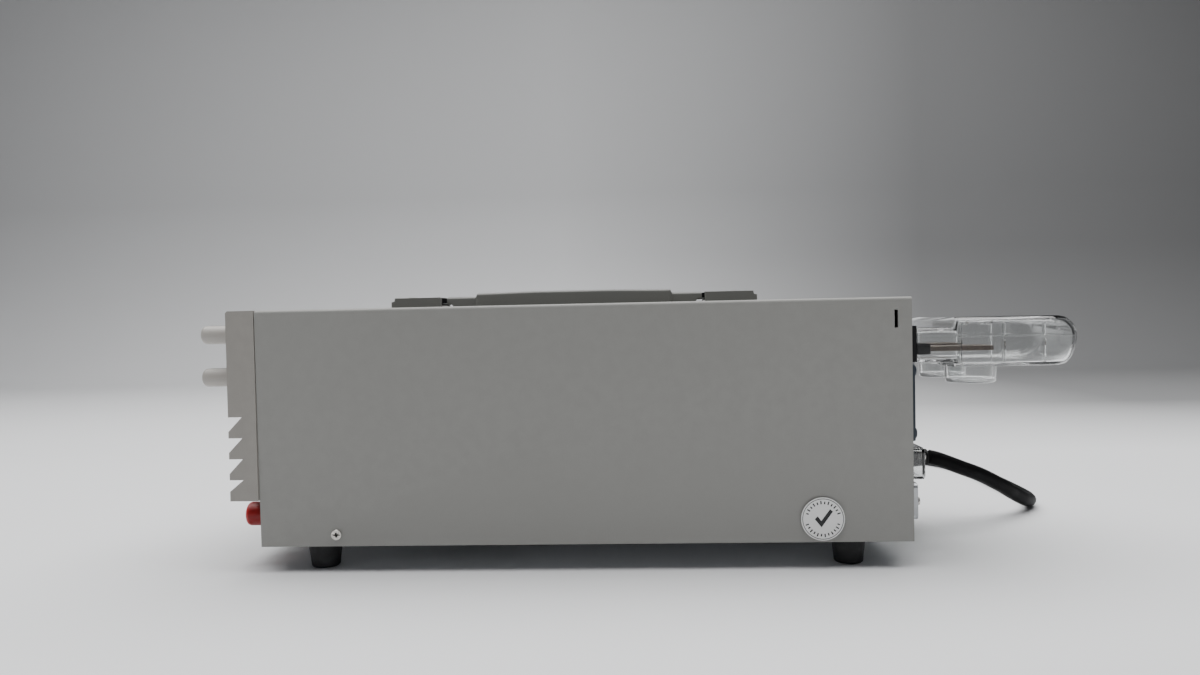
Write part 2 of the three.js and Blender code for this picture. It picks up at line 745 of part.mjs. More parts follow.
/** Hub, seven pitched blades and the stub shaft. */
function fanRotor() {
  const hub = rod("y", FAN.hub, [-17.5, -3.6], [0, 0]);
  const shaft = rod("y", 1.2, [-4, -1.2], [0, 0]);
  const bladeCount = 7;
  const [pitch, depth] = [38, -10.5];
  const blades = Array.from({ length: bladeCount }, (_, i) =>
    block(around(0, 0.7), around(0, 7.5), [FAN.hub - 1, FAN.bore - 1.2])
      .rotate([0, 0, pitch])
      .translate([0, depth, 0])
      .rotate([0, (360 / bladeCount) * i, 0]),
  );
  return join(hub, shaft, ...blades);
}

/** The moulded finger guard outside the rear panel: a square rim with ring and bars. */
function fanGuard() {
  const half = FAN.size / 2;
  const [foot, rim, grille] = [SHEET + GAP + SEAT, 6.2, 4.6];
  const ends = [grille, rim];
  const frame = cut(
    pushed("y", roundedRectangle([-half, half], [-half, half], 2), [foot, rim], 3),
    rod("y", FAN.bore - 0.6, [0, rim + 1], [0, 0]),
    ...FAN_CORNERS.map((corner) => rod("y", 1.8, [0, rim + 1], corner)),
  );
  const rings = [7, 12.5].map((radius) =>
    cut(rod("y", radius, ends, [0, 0]), rod("y", radius - 1.4, [0, rim + 1], [0, 0])),
  );
  return join(frame, ...rings, ...spokes(4, 3, FAN.bore, 1.8, ends), rod("y", 3.4, ends, [0, 0]));
}

part("fan_frame", "darkPlastic", fanFrame(), FAN_PLACE);
part("fan_rotor", "darkPlastic", fanRotor(), FAN_PLACE);
part("fan_guard", "guardBlue", fanGuard(), FAN_PLACE);

// ---------------------------------------------------------------- output terminals

const OUTPUT_FACE = COVER_LENGTH + OUTPUT.proud;

/** Terminal base: outer plate, body through the panel, and a slotted boss for each bar. */
function outputTerminalBase() {
  const throat = inside(outputThroat());
  const plate = block(OUTPUT.x, [REAR_FACE + SEAT, OUTPUT_FACE], span(OUTPUT.z));
  const body = block(throat.x, [322, REAR_FACE + 1], throat.z);
  const bossRange = [OUTPUT_FACE - 1, OUTPUT_FACE + OUTPUT.boss];
  const bosses = OUTPUT.bars.map((x) =>
    block(around(x, 13), bossRange, span([BAR.z[0] - 1.6, BAR.z[1] + 1.6])),
  );
  const slots = OUTPUT.bars.map((x) =>
    block(around(x, BAR.width / 2 + GAP), [300, 370], span([BAR.z[0] - GAP, BAR.z[1] + GAP])),
  );
  return cut(join(plate, body, ...bosses), ...slots);
}

/** A flat bar with a rounded end and one bolt hole. */
function busBar(x) {
  const corner = 3;
  const shape = roundedRectangle(around(x, BAR.width / 2), [BAR.start, OUTPUT.barEnd], corner);
  const bolt = rod("z", BAR.hole, span([BAR.z[0] - 1, BAR.z[1] + 1]), [x, BAR.holeY]);
  return cut(pushed("z", shape, span(BAR.z), 3), bolt);
}

/** The side outline of the clear cover in YZ, grown inwards by an inset. */
function coverProfile(inset) {
  const front = inset > 0 ? OUTPUT_FACE - 2 : OUTPUT_FACE + GAP;
  const [neckLow, neckHigh] = [up(COVER.neck[0]) + inset, up(COVER.neck[1]) - inset];
  const [low, high] = [up(COVER.body[0]) + inset, up(COVER.body[1]) - inset];
  const [step, end, nose] = [COVER.step + inset, COVER.end - inset, COVER.nose - inset];
  const shape = new THREE.Shape();
  shape.moveTo(front, neckLow);
  shape.lineTo(step, neckLow);
  shape.lineTo(step, low);
  shape.absarc(end - nose, low + nose, nose, -Math.PI / 2, 0);
  shape.absarc(end - nose, high - nose, nose, 0, Math.PI / 2);
  shape.lineTo(step, high);
  shape.lineTo(step, neckHigh);
  shape.lineTo(front, neckHigh);
  return shape;
}

/** The cover's plan outline in XY: square at the panel, rounded at the rear. */
function coverPlan(inset) {
  const [left, right] = [OUTPUT.x[0] + inset, OUTPUT.x[1] - inset];
  const [front, end, corner] = [OUTPUT_FACE - 4, COVER.end - inset, COVER.corner - inset];
  const shape = new THREE.Shape();
  shape.moveTo(left, front);
  shape.lineTo(right, front);
  shape.absarc(right - corner, end - corner, corner, 0, Math.PI / 2);
  shape.absarc(left + corner, end - corner, corner, Math.PI / 2, Math.PI);
  return shape;
}

const coverBlock = (inset) =>
  pushed("x", coverProfile(inset), [OUTPUT.x[0] + inset, OUTPUT.x[1] - inset], 6).intersect(
    pushed("z", coverPlan(inset), span([70, 130]), 6),
  );

/** The two halves of the clear cover, parted along the seam. */
function outputCovers() {
  const shell = cut(coverBlock(0), coverBlock(COVER.wall));
  const slack = [-100, 100];
  const depth = [OUTPUT_FACE - 10, COVER.end + 10];
  const below = block(slack, depth, [0, up(COVER.seam) - GAP / 2]);
  const above = block(slack, depth, [up(COVER.seam) + GAP / 2, 300]);
  const floor = up(COVER.body[0]);
  const domes = OUTPUT.bars.map((x) =>
    rod("z", DOME.radius - 0.4, [up(DOME.bottom), floor + 1], [x, BAR.holeY], {
      endRadius: DOME.radius,
    }),
  );
  const hollows = OUTPUT.bars.map((x) =>
    rod("z", DOME.radius - COVER.wall, [up(DOME.bottom) + COVER.wall, floor + 3], [x, BAR.holeY]),
  );
  const cableSlot = block([-6, 42], [COVER.end - 29.5, COVER.end - 15.5], [floor - 1, floor + 3]);
  return {
    lower: cut(join(shell.intersect(below), ...domes), ...hollows, cableSlot),
    upper: shell.intersect(above),
  };
}

const covers = outputCovers();
part("output_terminal_base", "darkPlastic", outputTerminalBase());
part("negative_bus_bar", "nickel", busBar(OUTPUT.bars[0]));
part("positive_bus_bar", "nickel", busBar(OUTPUT.bars[1]));
part("output_cover_lower", "clear", covers.lower);
part("output_cover_upper", "clear", covers.upper);

// ----------------------------------------------------------- AC input and connector

/** Barrier strip of the AC input, with the walls between its terminals. */
function acTerminalBlock() {
  const throat = inside(inletThroat());
  const body = block(throat.x, [322, 341], throat.z);
  const width = throat.x[1] - throat.x[0];
  const walls = [0, 1, 2, 3].map((i) => {
    const x = throat.x[0] + 0.8 + (i * (width - 1.6)) / 3;
    return block(around(x, 0.8), [340, 347], [throat.z[0], throat.z[1] - 5]);
  });
  return join(body, ...walls);
}

/** The clear box over the AC terminals, open towards the panel, with the lead's hole. */
function acTerminalCover() {
  const z = span(INLET.z);
  const shell = pushed("y", roundedRectangle(INLET.x, z, 3), [REAR_FACE + SEAT, INLET.end], 3);
  const hollow = block(
    [INLET.x[0] + INLET.wall, INLET.x[1] - INLET.wall],
    [REAR_FACE - 1, INLET.end - INLET.wall],
    [z[0] + INLET.wall, z[1] - INLET.wall],
  );
  const leadHole = rod("y", 6.3, [INLET.end - 5, INLET.end + 5], [CORD_EXIT.x, CORD_EXIT.z]);
  return cut(shell, hollow, leadHole);
}

/** Tapered bush that holds the lead: flange inside the cover, sleeve outside. */
function strainRelief() {
  const inner = INLET.end - INLET.wall - GAP;
  return turned("y", [
    [0, CORD_EXIT.y],
    [CORD_RADIUS + 0.5, CORD_EXIT.y],
    [6, INLET.end + 1],
    [6, inner],
    [6.8, inner],
    [6.8, inner - 2],
    [5.6, inner - 2],
    [5.6, 350],
    [0, 350],
  ]);
}

/** Plate and body of the signal connector low on the rear panel. */
function controlConnector() {
  const throat = inside(connectorThroat());
  const z = span(CONNECTOR.z);
  const face = COVER_LENGTH + CONNECTOR.proud;
  const plate = pushed("y", roundedRectangle(CONNECTOR.x, z, 2.5), [REAR_FACE + SEAT, face], 3);
  const body = block(throat.x, [322, REAR_FACE + 1], throat.z);
  const socket = block(
    [CONNECTOR.x[0] + 5, CONNECTOR.x[1] - 5],
    [face - 5, face + 1],
    [z[0] + 5, z[1] - 5],
  );
  return cut(join(plate, body), socket);
}

part("ac_terminal_block", "darkPlastic", acTerminalBlock());
part("ac_terminal_cover", "clear", acTerminalCover());
part("cord_strain_relief", "rubber", strainRelief(), [CORD_EXIT.x, 0, CORD_EXIT.z]);
part("control_connector", "darkPlastic", controlConnector());

// ------------------------------------------------------------------ electronics bay

const ON_BOARD = MAIN_BOARD_Z + BOARD_THICKNESS + SEAT;

/** An upright heatsink: a wall with fins towards the middle of the unit. */
function heatsink(side, ends) {
  const [wallX, finX, root] = [62, 48, 59];
  const wall = block([root, wallX], ends, [ON_BOARD, ON_BOARD + 66]);
  const fins = [2, 13, 24, 35, 46, 57].map((z) =>
    block([finX, root + 1], ends, [ON_BOARD + z, ON_BOARD + z + 2]),
  );
  const made = join(wall, ...fins);
  return side > 0 ? made : made.mirror([1, 0, 0]);
}

/** A ferrite core with its winding standing proud of it front and back. */
function transformer() {
  return join(
    block([-23, 23], [-18, 18], [0, 42]),
    block([-15, 15], [-26, 26], [6, 36]),
  );
}

function filterChoke() {
  const [ring, wire] = [12, 5.5];
  return solid(new THREE.TorusGeometry(ring, wire, 8, 16)).translate([0, 0, wire]);
}

part(
  "main_board",
  "board",
  block(around(0, 63), [20, 298], [MAIN_BOARD_Z, MAIN_BOARD_Z + BOARD_THICKNESS]),
);
part("primary_heatsink", "aluminium", heatsink(-1, [56, 190]));
part("secondary_heatsink", "aluminium", heatsink(1, [56, 250]));
part("main_transformer", "ferrite", transformer(), [-4, 158, ON_BOARD]);
part("bulk_capacitor", "sleeve", rod("z", 15, [0, 46], [0, 0]), [-42, 226, ON_BOARD]);
part("filter_choke", "copper", filterChoke(), [-38, 275, ON_BOARD]);

// ----------------------------------------------------------------------- mains lead

/** The lead as a tube along its route, as far as the coil. */
function leadTube() {
  const route = new THREE.CatmullRomCurve3(CORD_ROUTE.map((p) => new THREE.Vector3(...p)));
  const sides = 10;
  const section = new THREE.Shape(
    Array.from({ length: sides }, (_, i) => {
      const angle = (2 * Math.PI * i) / sides;
      return new THREE.Vector2(CORD_RADIUS * Math.cos(angle), CORD_RADIUS * Math.sin(angle));
    }),
  );
  return solid(
    new THREE.ExtrudeGeometry(section, { steps: 26, extrudePath: route, bevelEnabled: false }),
  );
}

/** The outer shape of the wound part of the lead: a low ring on the ground. */
function coilRing() {
  const { turn, half, height } = COIL;
  const bevel = 3;
  return turned(
    "z",
    [
      [turn - half + bevel, 0],
      [turn + half - bevel, 0],
      [turn + half, bevel],
      [turn + half - bevel, height],
      [turn - half + bevel, height],
      [turn - half, bevel],
      [turn - half + bevel, 0],
    ],
    32,
  );
}

/** The moulded plug lying on the ground, with its sleeve towards the coil and three pins. */
function plug() {
  const axisZ = 12.4;
  const body = pushed("x", roundedRectangle(around(0, 13), [0.2, 23], 5), [0, 36], 4);
  const sleeve = rod("x", 5.4, [-20, 2], [0, axisZ], { endRadius: 7, sides: 16 });
  const blades = [-6.35, 6.35].map((y) => block([34, 53], around(y, 0.75), around(axisZ - 2, 3.1)));
  const earth = rod("x", 2.4, [34, 55], [0, axisZ + 5.5]);
  return join(body, sleeve, ...blades, earth);
}

const PLUG_PLACE = [COIL.x + 62, COIL.y - COIL.turn - CORD_RADIUS, 0];

part("power_cord", "cord", leadTube());
part("cord_coil", "cord", coilRing(), [COIL.x, COIL.y, 0]);
part("cord_plug", "plugGrey", plug(), PLUG_PLACE);

export default unit;
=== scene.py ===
"""Looks of a compact bench power supply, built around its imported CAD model.

Lengths in this script are millimetres. Depths are counted from the front edge of the top
cover, heights from the ground, and to_row() turns such a point into the frame's metres.
"""

import math

import bmesh
import bpy
from mathutils import Matrix, Vector


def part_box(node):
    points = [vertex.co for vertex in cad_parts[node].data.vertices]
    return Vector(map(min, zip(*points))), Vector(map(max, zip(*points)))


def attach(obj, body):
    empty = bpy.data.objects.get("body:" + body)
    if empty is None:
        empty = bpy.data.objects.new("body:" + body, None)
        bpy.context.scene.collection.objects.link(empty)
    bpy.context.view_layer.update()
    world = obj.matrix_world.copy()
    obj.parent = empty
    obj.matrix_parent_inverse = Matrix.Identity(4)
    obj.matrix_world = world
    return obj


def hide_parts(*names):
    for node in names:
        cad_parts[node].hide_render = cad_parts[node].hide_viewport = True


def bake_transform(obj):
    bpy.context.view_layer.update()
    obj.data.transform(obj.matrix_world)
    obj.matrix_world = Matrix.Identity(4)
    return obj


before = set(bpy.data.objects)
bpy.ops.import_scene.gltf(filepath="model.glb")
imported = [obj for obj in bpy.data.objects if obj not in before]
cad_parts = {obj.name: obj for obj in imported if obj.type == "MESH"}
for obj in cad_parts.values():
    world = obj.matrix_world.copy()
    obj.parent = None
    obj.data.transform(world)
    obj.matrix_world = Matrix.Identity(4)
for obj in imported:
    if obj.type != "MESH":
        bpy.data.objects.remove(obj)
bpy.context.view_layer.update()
MM = 0.001
MIDDLE_Y = -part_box("top_cover")[0].y / MM  # depth of the frame's origin


def to_row(point):
    """A point in millimetres as a point in the row frame, in metres."""
    return Vector((point[0], point[1] - MIDDLE_Y, point[2])) * MM


def ends_of(node):
    """(lowest, highest) corner of a CAD node, in this script's millimetres."""
    low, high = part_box(node)
    shift = Vector((0, MIDDLE_Y, 0))
    return low / MM + shift, high / MM + shift


# ---------------------------------------------------------------- driving dimensions

CASE_LOW, CASE_HIGH = ends_of("top_cover")
FLOOR_Z, ROOF_Z = CASE_LOW.z, CASE_HIGH.z
HALF_WIDTH = CASE_HIGH.x
COVER_END = CASE_HIGH.y
BEZEL_FACE = ends_of("front_bezel")[0].y
PAPER = 0.06  # thickness of a printed mark or a label
NEAR_AXIS = 0.02  # radius at which a turned profile closes

CORD_DIAMETER = 9.0
CORD_EXIT = (-24, 374, 41.5)
# The mains lead from its strain relief to the coil.
CORD_ROUTE = [
    (-24, 375.2, 41.5),
    (-24.3, 379, 40.6),
    (-25.4, 384, 38.9),
    (-28.5, 395.7, 34.2),
    (-33, 409.5, 28.6),
    (-40, 424.4, 20.8),
    (-46.5, 434.2, 14.9),
    (-56, 445.4, 8.8),
    (-69, 454.5, 5.3),
    (-85, 458, 4.6),
    (-110, 459.3, 4.6),
    (-140, 460, 4.6),
    (-172, 460, 4.6),
    (-200, 457.3, 4.6),
    (-226, 449.5, 4.6),
    (-246, 435, 4.6),
    (-256.5, 416, 4.6),
    (-259, 400, 4.6),
    (-259, 385.8, 4.6),
]
COIL_CENTRE = (-200, 352)
# Radius and height of the lead's centre in each turn of the coil, from the first one on.
COIL_TURNS = [(59, 4.6), (50, 4.6), (41, 4.6), (45.5, 12.4), (54.5, 12.4), (54.5, 12.4)]
COIL_TURN_COUNT = 5.25
# Start and length, as shares of a turn, of the steps that the lead takes near a turn's end.
CLIMB_WINDOW = (0.52, 0.26)  # up to the next layer
SHIFT_WINDOW = (0.8, 0.2)  # sideways within a layer
CREST_WINDOW = (0.78, 0.22)  # the rise where an upper turn crosses a lower one
CREST_RISE = 1.1
PLUG_X = -138  # where the plug's body begins, behind its sleeve
PLUG_AXIS = (COIL_CENTRE[1] - 54.5, 12.4)  # depth and height of the plug's axis

# ---------------------------------------------------------------- camera and lights

CAMERA_PLACE = to_row((515.41, 201.26, 129.39))
CAMERA_YAW, CAMERA_PITCH, CAMERA_ROLL = (math.radians(a) for a in (-2.7173, -1.1518, -1.2006))
CAMERA_LENS = 26.1


def make_camera():
    """A camera at the unit's right-hand side, level with the upper part of the case."""
    yaw, pitch, roll = CAMERA_YAW, CAMERA_PITCH, CAMERA_ROLL
    forward = Vector((-math.cos(yaw) * math.cos(pitch), math.sin(yaw) * math.cos(pitch), math.sin(pitch)))
    level = Vector((math.sin(yaw), math.cos(yaw), 0))
    upright = level.cross(forward)
    right = math.cos(roll) * level + math.sin(roll) * upright
    up = -math.sin(roll) * level + math.cos(roll) * upright
    data = bpy.data.cameras.new("camera")
    data.lens = CAMERA_LENS
    data.sensor_width = 36
    camera = bpy.data.objects.new("camera", data)
    turn = Matrix((right, up, -forward)).transposed().to_4x4()
    camera.matrix_world = Matrix.Translation(CAMERA_PLACE) @ turn
    bpy.context.scene.collection.objects.link(camera)
    bpy.context.scene.camera = camera


def area_light(name, place, target, size, watts, color=(1, 1, 1)):
    data = bpy.data.lights.new(name, "AREA")
    data.shape = "RECTANGLE"
    data.size, data.size_y = size
    data.energy = watts
    data.color = color
    light = bpy.data.objects.new(name, data)
    light.location = place
    light.rotation_mode = "QUATERNION"
    light.rotation_quaternion = (Vector(target) - Vector(place)).to_track_quat("-Z", "Y")
    bpy.context.scene.collection.objects.link(light)


def make_lights():
    """A broad overhead softbox, and a wash on the left of the backdrop."""
    area_light("overhead", (-0.12, -0.05, 1.5), (0.05, 0, 0), (2.4, 1.8), 62)
    area_light("wall_wash", (-0.5, -1.1, 1.9), (-1.5, -0.9, 0.35), (1.2, 1.0), 3)
    world = bpy.data.worlds.new("world")
    world.use_nodes = True
    background = world.node_tree.nodes["Background"]
    background.inputs["Color"].default_value = (0.93, 0.95, 1.0, 1)
    background.inputs["Strength"].default_value = 0.07
    bpy.context.scene.world = world


make_camera()
make_lights()

# ------------------------------------------------------------------- material helpers


class Shader:
    """One Principled material and the short calls that build its texture nodes."""

    def __init__(self, name, color, roughness, metallic=0.0, **sockets):
        self.material = bpy.data.materials.new(name)
        self.material.use_nodes = True
        self.nodes = self.material.node_tree.nodes
        self.links = self.material.node_tree.links
        self.bsdf = self.nodes["Principled BSDF"]
        self.color = color
        self.bsdf.inputs["Base Color"].default_value = (*color, 1)
        self.bsdf.inputs["Roughness"].default_value = roughness
        self.bsdf.inputs["Metallic"].default_value = metallic
        for socket, value in sockets.items():
            self.bsdf.inputs[socket.replace("_", " ")].default_value = value
        self.place = self.nodes.new("ShaderNodeTexCoord").outputs["Object"]
        self.material.diffuse_color = (*color, 1)

    def stretched(self, scale):
        """The object's coordinates in metres, scaled along each axis."""
        mapping = self.nodes.new("ShaderNodeMapping")
        mapping.inputs["Scale"].default_value = scale
        self.links.new(self.place, mapping.inputs["Vector"])
        return mapping.outputs["Vector"]

    def noise(self, grain, detail=2.0, stretch=None):
        """Noise whose blobs are about grain millimetres wide."""
        node = self.nodes.new("ShaderNodeTexNoise")
        node.inputs["Scale"].default_value = 1 / (grain * MM)
        node.inputs["Detail"].default_value = detail
        self.links.new(self.stretched(stretch) if stretch else self.place, node.inputs["Vector"])
        return node.outputs["Fac"]

    def cells(self, grain, feature="F1", output="Distance"):
        node = self.nodes.new("ShaderNodeTexVoronoi")
        node.feature = feature
        node.inputs["Scale"].default_value = 1 / (grain * MM)
        self.links.new(self.place, node.inputs["Vector"])
        return node.outputs[output]

    def ramp(self, value, low, high, start=0.0, end=1.0):
        """value from low..high as start..end, clamped."""
        node = self.nodes.new("ShaderNodeMapRange")
        node.inputs["From Min"].default_value = low
        node.inputs["From Max"].default_value = high
        node.inputs["To Min"].default_value = start
        node.inputs["To Max"].default_value = end
        self.links.new(value, node.inputs["Value"])
        return node.outputs["Result"]

    def times(self, first, second):
        node = self.nodes.new("ShaderNodeMath")
        node.operation = "MULTIPLY"
        self.links.new(first, node.inputs[0])
        self.links.new(second, node.inputs[1])
        return node.outputs["Value"]

    def tint(self, factor, shade):
        """Mixes a further shade into the base colour where factor is high."""
        mix = self.nodes.new("ShaderNodeMix")
        mix.data_type = "RGBA"
        before, after = mix.inputs[6], mix.inputs[7]
        base = self.bsdf.inputs["Base Color"]
        if base.is_linked:
            self.links.new(base.links[0].from_socket, before)
        else:
            before.default_value = (*self.color, 1)
        after.default_value = (*shade, 1)
        self.links.new(factor, mix.inputs["Factor"])
        self.links.new(mix.outputs[2], base)
        return self

    def rough(self, value, low, high, start, end):
        self.links.new(self.ramp(value, low, high, start, end), self.bsdf.inputs["Roughness"])
        return self

    def bump(self, height, distance, strength=1.0):
        """Relief of distance millimetres, on top of any relief that is there already."""
        node = self.nodes.new("ShaderNodeBump")
        node.inputs["Distance"].default_value = distance * MM
        node.inputs["Strength"].default_value = strength
        self.links.new(height, node.inputs["Height"])
        normal = self.bsdf.inputs["Normal"]
        if normal.is_linked:
            self.links.new(normal.links[0].from_socket, node.inputs["Normal"])
        self.links.new(node.outputs["Normal"], normal)
        return self

    def edges(self, shade, low=0.53, high=0.6, amount=0.5):
        """A lighter or darker shade where the surface is worn along its edges."""
        pointed = self.nodes.new("ShaderNodeNewGeometry").outputs["Pointiness"]
        patchy = self.ramp(self.noise(6, 3), 0.35, 0.65, 0, amount)
        return self.tint(self.times(self.ramp(pointed, low, high), patchy), shade)


def scaled(color, factor):
    return tuple(min(1.0, channel * factor) for channel in color)


# ------------------------------------------------------------------------- materials


def powder_coat():
    """Fine-textured light grey paint with faint handling marks."""
    color = (0.28, 0.278, 0.263)
    s = Shader("case_paint", color, 0.52, Specular_IOR_Level=0.4)
    s.tint(s.ramp(s.noise(55, 3), 0.35, 0.7, 0, 0.5), scaled(color, 0.965))
    s.tint(s.ramp(s.noise(0.55, 1), 0.55, 0.75, 0, 0.5), scaled(color, 0.93))
    scuffs = s.ramp(s.noise(0.7, 2, (1, 0.06, 1.6)), 0.7, 0.76)
    where = s.ramp(s.noise(38, 1), 0.6, 0.68)
    s.tint(s.ramp(s.times(scuffs, where), 0, 1, 0, 0.4), scaled(color, 0.72))
    s.rough(s.noise(24, 3), 0.3, 0.7, 0.46, 0.58)
    s.bump(s.noise(0.75, 2), 0.05, 0.5)
    return s.edges(scaled(color, 1.15), 0.52, 0.6, 0.35).material


def moulded(name, color, roughness=0.5, grain=0.45, relief=0.03, shade=0.95, **sockets):
    """Injection-moulded plastic with a fine etched grain."""
    s = Shader(name, color, roughness, **sockets)
    s.tint(s.ramp(s.noise(30, 3), 0.35, 0.7, 0, 0.6), scaled(color, shade))
    s.tint(s.ramp(s.noise(grain, 1), 0.55, 0.75, 0, 0.4), scaled(color, 0.92))
    s.rough(s.noise(12, 3), 0.3, 0.7, roughness - 0.05, roughness + 0.07)
    s.bump(s.cells(grain), relief, 0.5)
    return s.edges(scaled(color, 1.2), 0.52, 0.6, 0.3).material


def plated(name, color, roughness, brushed=(1, 1, 14), **sockets):
    """Plated metal with fine drawing lines and cloudy patches."""
    s = Shader(name, color, roughness, 1.0, **sockets)
    s.tint(s.ramp(s.noise(9, 4), 0.35, 0.7, 0, 0.7), scaled(color, 0.82))
    s.rough(s.noise(2.5, 4), 0.3, 0.7, roughness - 0.06, roughness + 0.12)
    return s.bump(s.noise(1.2, 3, brushed), 0.01, 0.4).material


def zinc():
    """Zinc-plated sheet with a faint spangle."""
    color = (0.56, 0.575, 0.59)
    s = Shader("zinc_plate", color, 0.38, 1.0)
    s.tint(s.ramp(s.cells(5, "F1", "Color"), 0.2, 0.9, 0, 0.8), scaled(color, 0.8))
    s.rough(s.cells(5, "F1", "Color"), 0.2, 0.9, 0.32, 0.5)
    return s.bump(s.noise(1.5, 3), 0.01, 0.3).material


def rubber(name, color, roughness=0.72, grain=0.5):
    """Matt moulded rubber with dust in its pores."""
    s = Shader(name, color, roughness, Specular_IOR_Level=0.35)
    s.tint(s.ramp(s.noise(7, 4), 0.5, 0.8, 0, 0.35), (0.11, 0.11, 0.115))
    s.rough(s.noise(5, 3), 0.3, 0.7, roughness - 0.1, roughness + 0.1)
    return s.bump(s.noise(grain, 3), 0.05, 0.6).material


def cable_jacket():
    """Smooth black PVC with a slight sheen and fine rub marks."""
    s = Shader("cord_rubber", (0.003, 0.003, 0.0033), 0.55, Specular_IOR_Level=0.1)
    s.tint(s.ramp(s.noise(1.4, 3, (1, 0.2, 1)), 0.62, 0.78, 0, 0.2), (0.014, 0.014, 0.015))
    s.rough(s.noise(8, 3), 0.3, 0.7, 0.42, 0.6)
    return s.bump(s.noise(1.1, 2), 0.03, 0.5).material


def clear_polycarbonate():
    """Water-clear moulding with faint flow waves and handling haze."""
    s = Shader("clear_plastic", (0.955, 0.965, 0.962), 0.04, Transmission_Weight=1.0, IOR=1.1,
               Coat_Weight=1.0, Coat_IOR=1.5, Coat_Roughness=0.05)
    s.rough(s.noise(14, 3), 0.45, 0.8, 0.02, 0.12)
    return s.bump(s.noise(16, 2), 0.12, 0.5).material


def smoked_window():
    s = Shader("smoked_window", (0.10, 0.035, 0.035), 0.06, Transmission_Weight=0.9, IOR=1.49)
    s.rough(s.noise(10, 3), 0.4, 0.8, 0.04, 0.12)
    return s.bump(s.noise(20, 2), 0.05, 0.3).material


def circuit_board():
    """Green solder mask with copper tracks showing through as lighter lines."""
    color = (0.012, 0.085, 0.04)
    s = Shader("circuit_board", color, 0.35)
    tracks = s.ramp(s.cells(3.2, "DISTANCE_TO_EDGE"), 0.04, 0.07, 1, 0)
    s.tint(s.ramp(tracks, 0, 1, 0, 0.8), (0.03, 0.16, 0.075))
    s.tint(s.ramp(s.noise(1.2, 1), 0.7, 0.74), (0.5, 0.5, 0.48))
    return s.bump(tracks, 0.05, 0.5).material


def winding(name, color, pitch, metallic=0.0, roughness=0.35):
    """Wire laid side by side: round ribs along a winding, with painted shade in the grooves between them.
    """
    s = Shader(name, color, roughness, metallic)
    wave = s.nodes.new("ShaderNodeTexWave")
    wave.bands_direction = "Z"
    wave.inputs["Scale"].default_value = 1 / (pitch * MM * 6.283)
    wave.inputs["Distortion"].default_value = 0.4
    s.links.new(s.place, wave.inputs["Vector"])
    # Painted shade: the grooves between neighbouring turns are darkened.
    s.tint(s.ramp(wave.outputs["Fac"], 0, 0.5, 0.8, 0), scaled(color, 0.35))
    s.rough(s.noise(6, 2), 0.3, 0.7, roughness - 0.08, roughness + 0.1)
    return s.bump(wave.outputs["Fac"], 0.2, 0.8).material


def plain_floor():
    """Matt pale stage with painted shade: darker up the backdrop and to the right behind the unit."""
    color = (0.80, 0.805, 0.815)
    s = Shader("stage", color, 0.75)
    s.tint(s.ramp(s.noise(300, 2), 0.4, 0.7, 0, 0.5), scaled(color, 0.97))
    split = s.nodes.new("ShaderNodeSeparateXYZ")
    s.links.new(s.place, split.inputs[0])
    # Painted shade: the backdrop is darkened with height, where less light reaches it.
    s.tint(s.ramp(split.outputs["Z"], 0.02, 0.45, 0, 0.75), scaled(color, 0.45))
    # Painted shade: the floor and backdrop behind the unit, to its right, are darkened as if in shadow.
    right_shade_mask = s.ramp(split.outputs["Y"], -0.2, 0.7)
    s.tint(s.times(right_shade_mask, s.ramp(split.outputs["X"], -0.75, -0.3, 0.85, 0)), scaled(color, 0.2))
    return s.bump(s.noise(1.5, 2), 0.02, 0.3).material


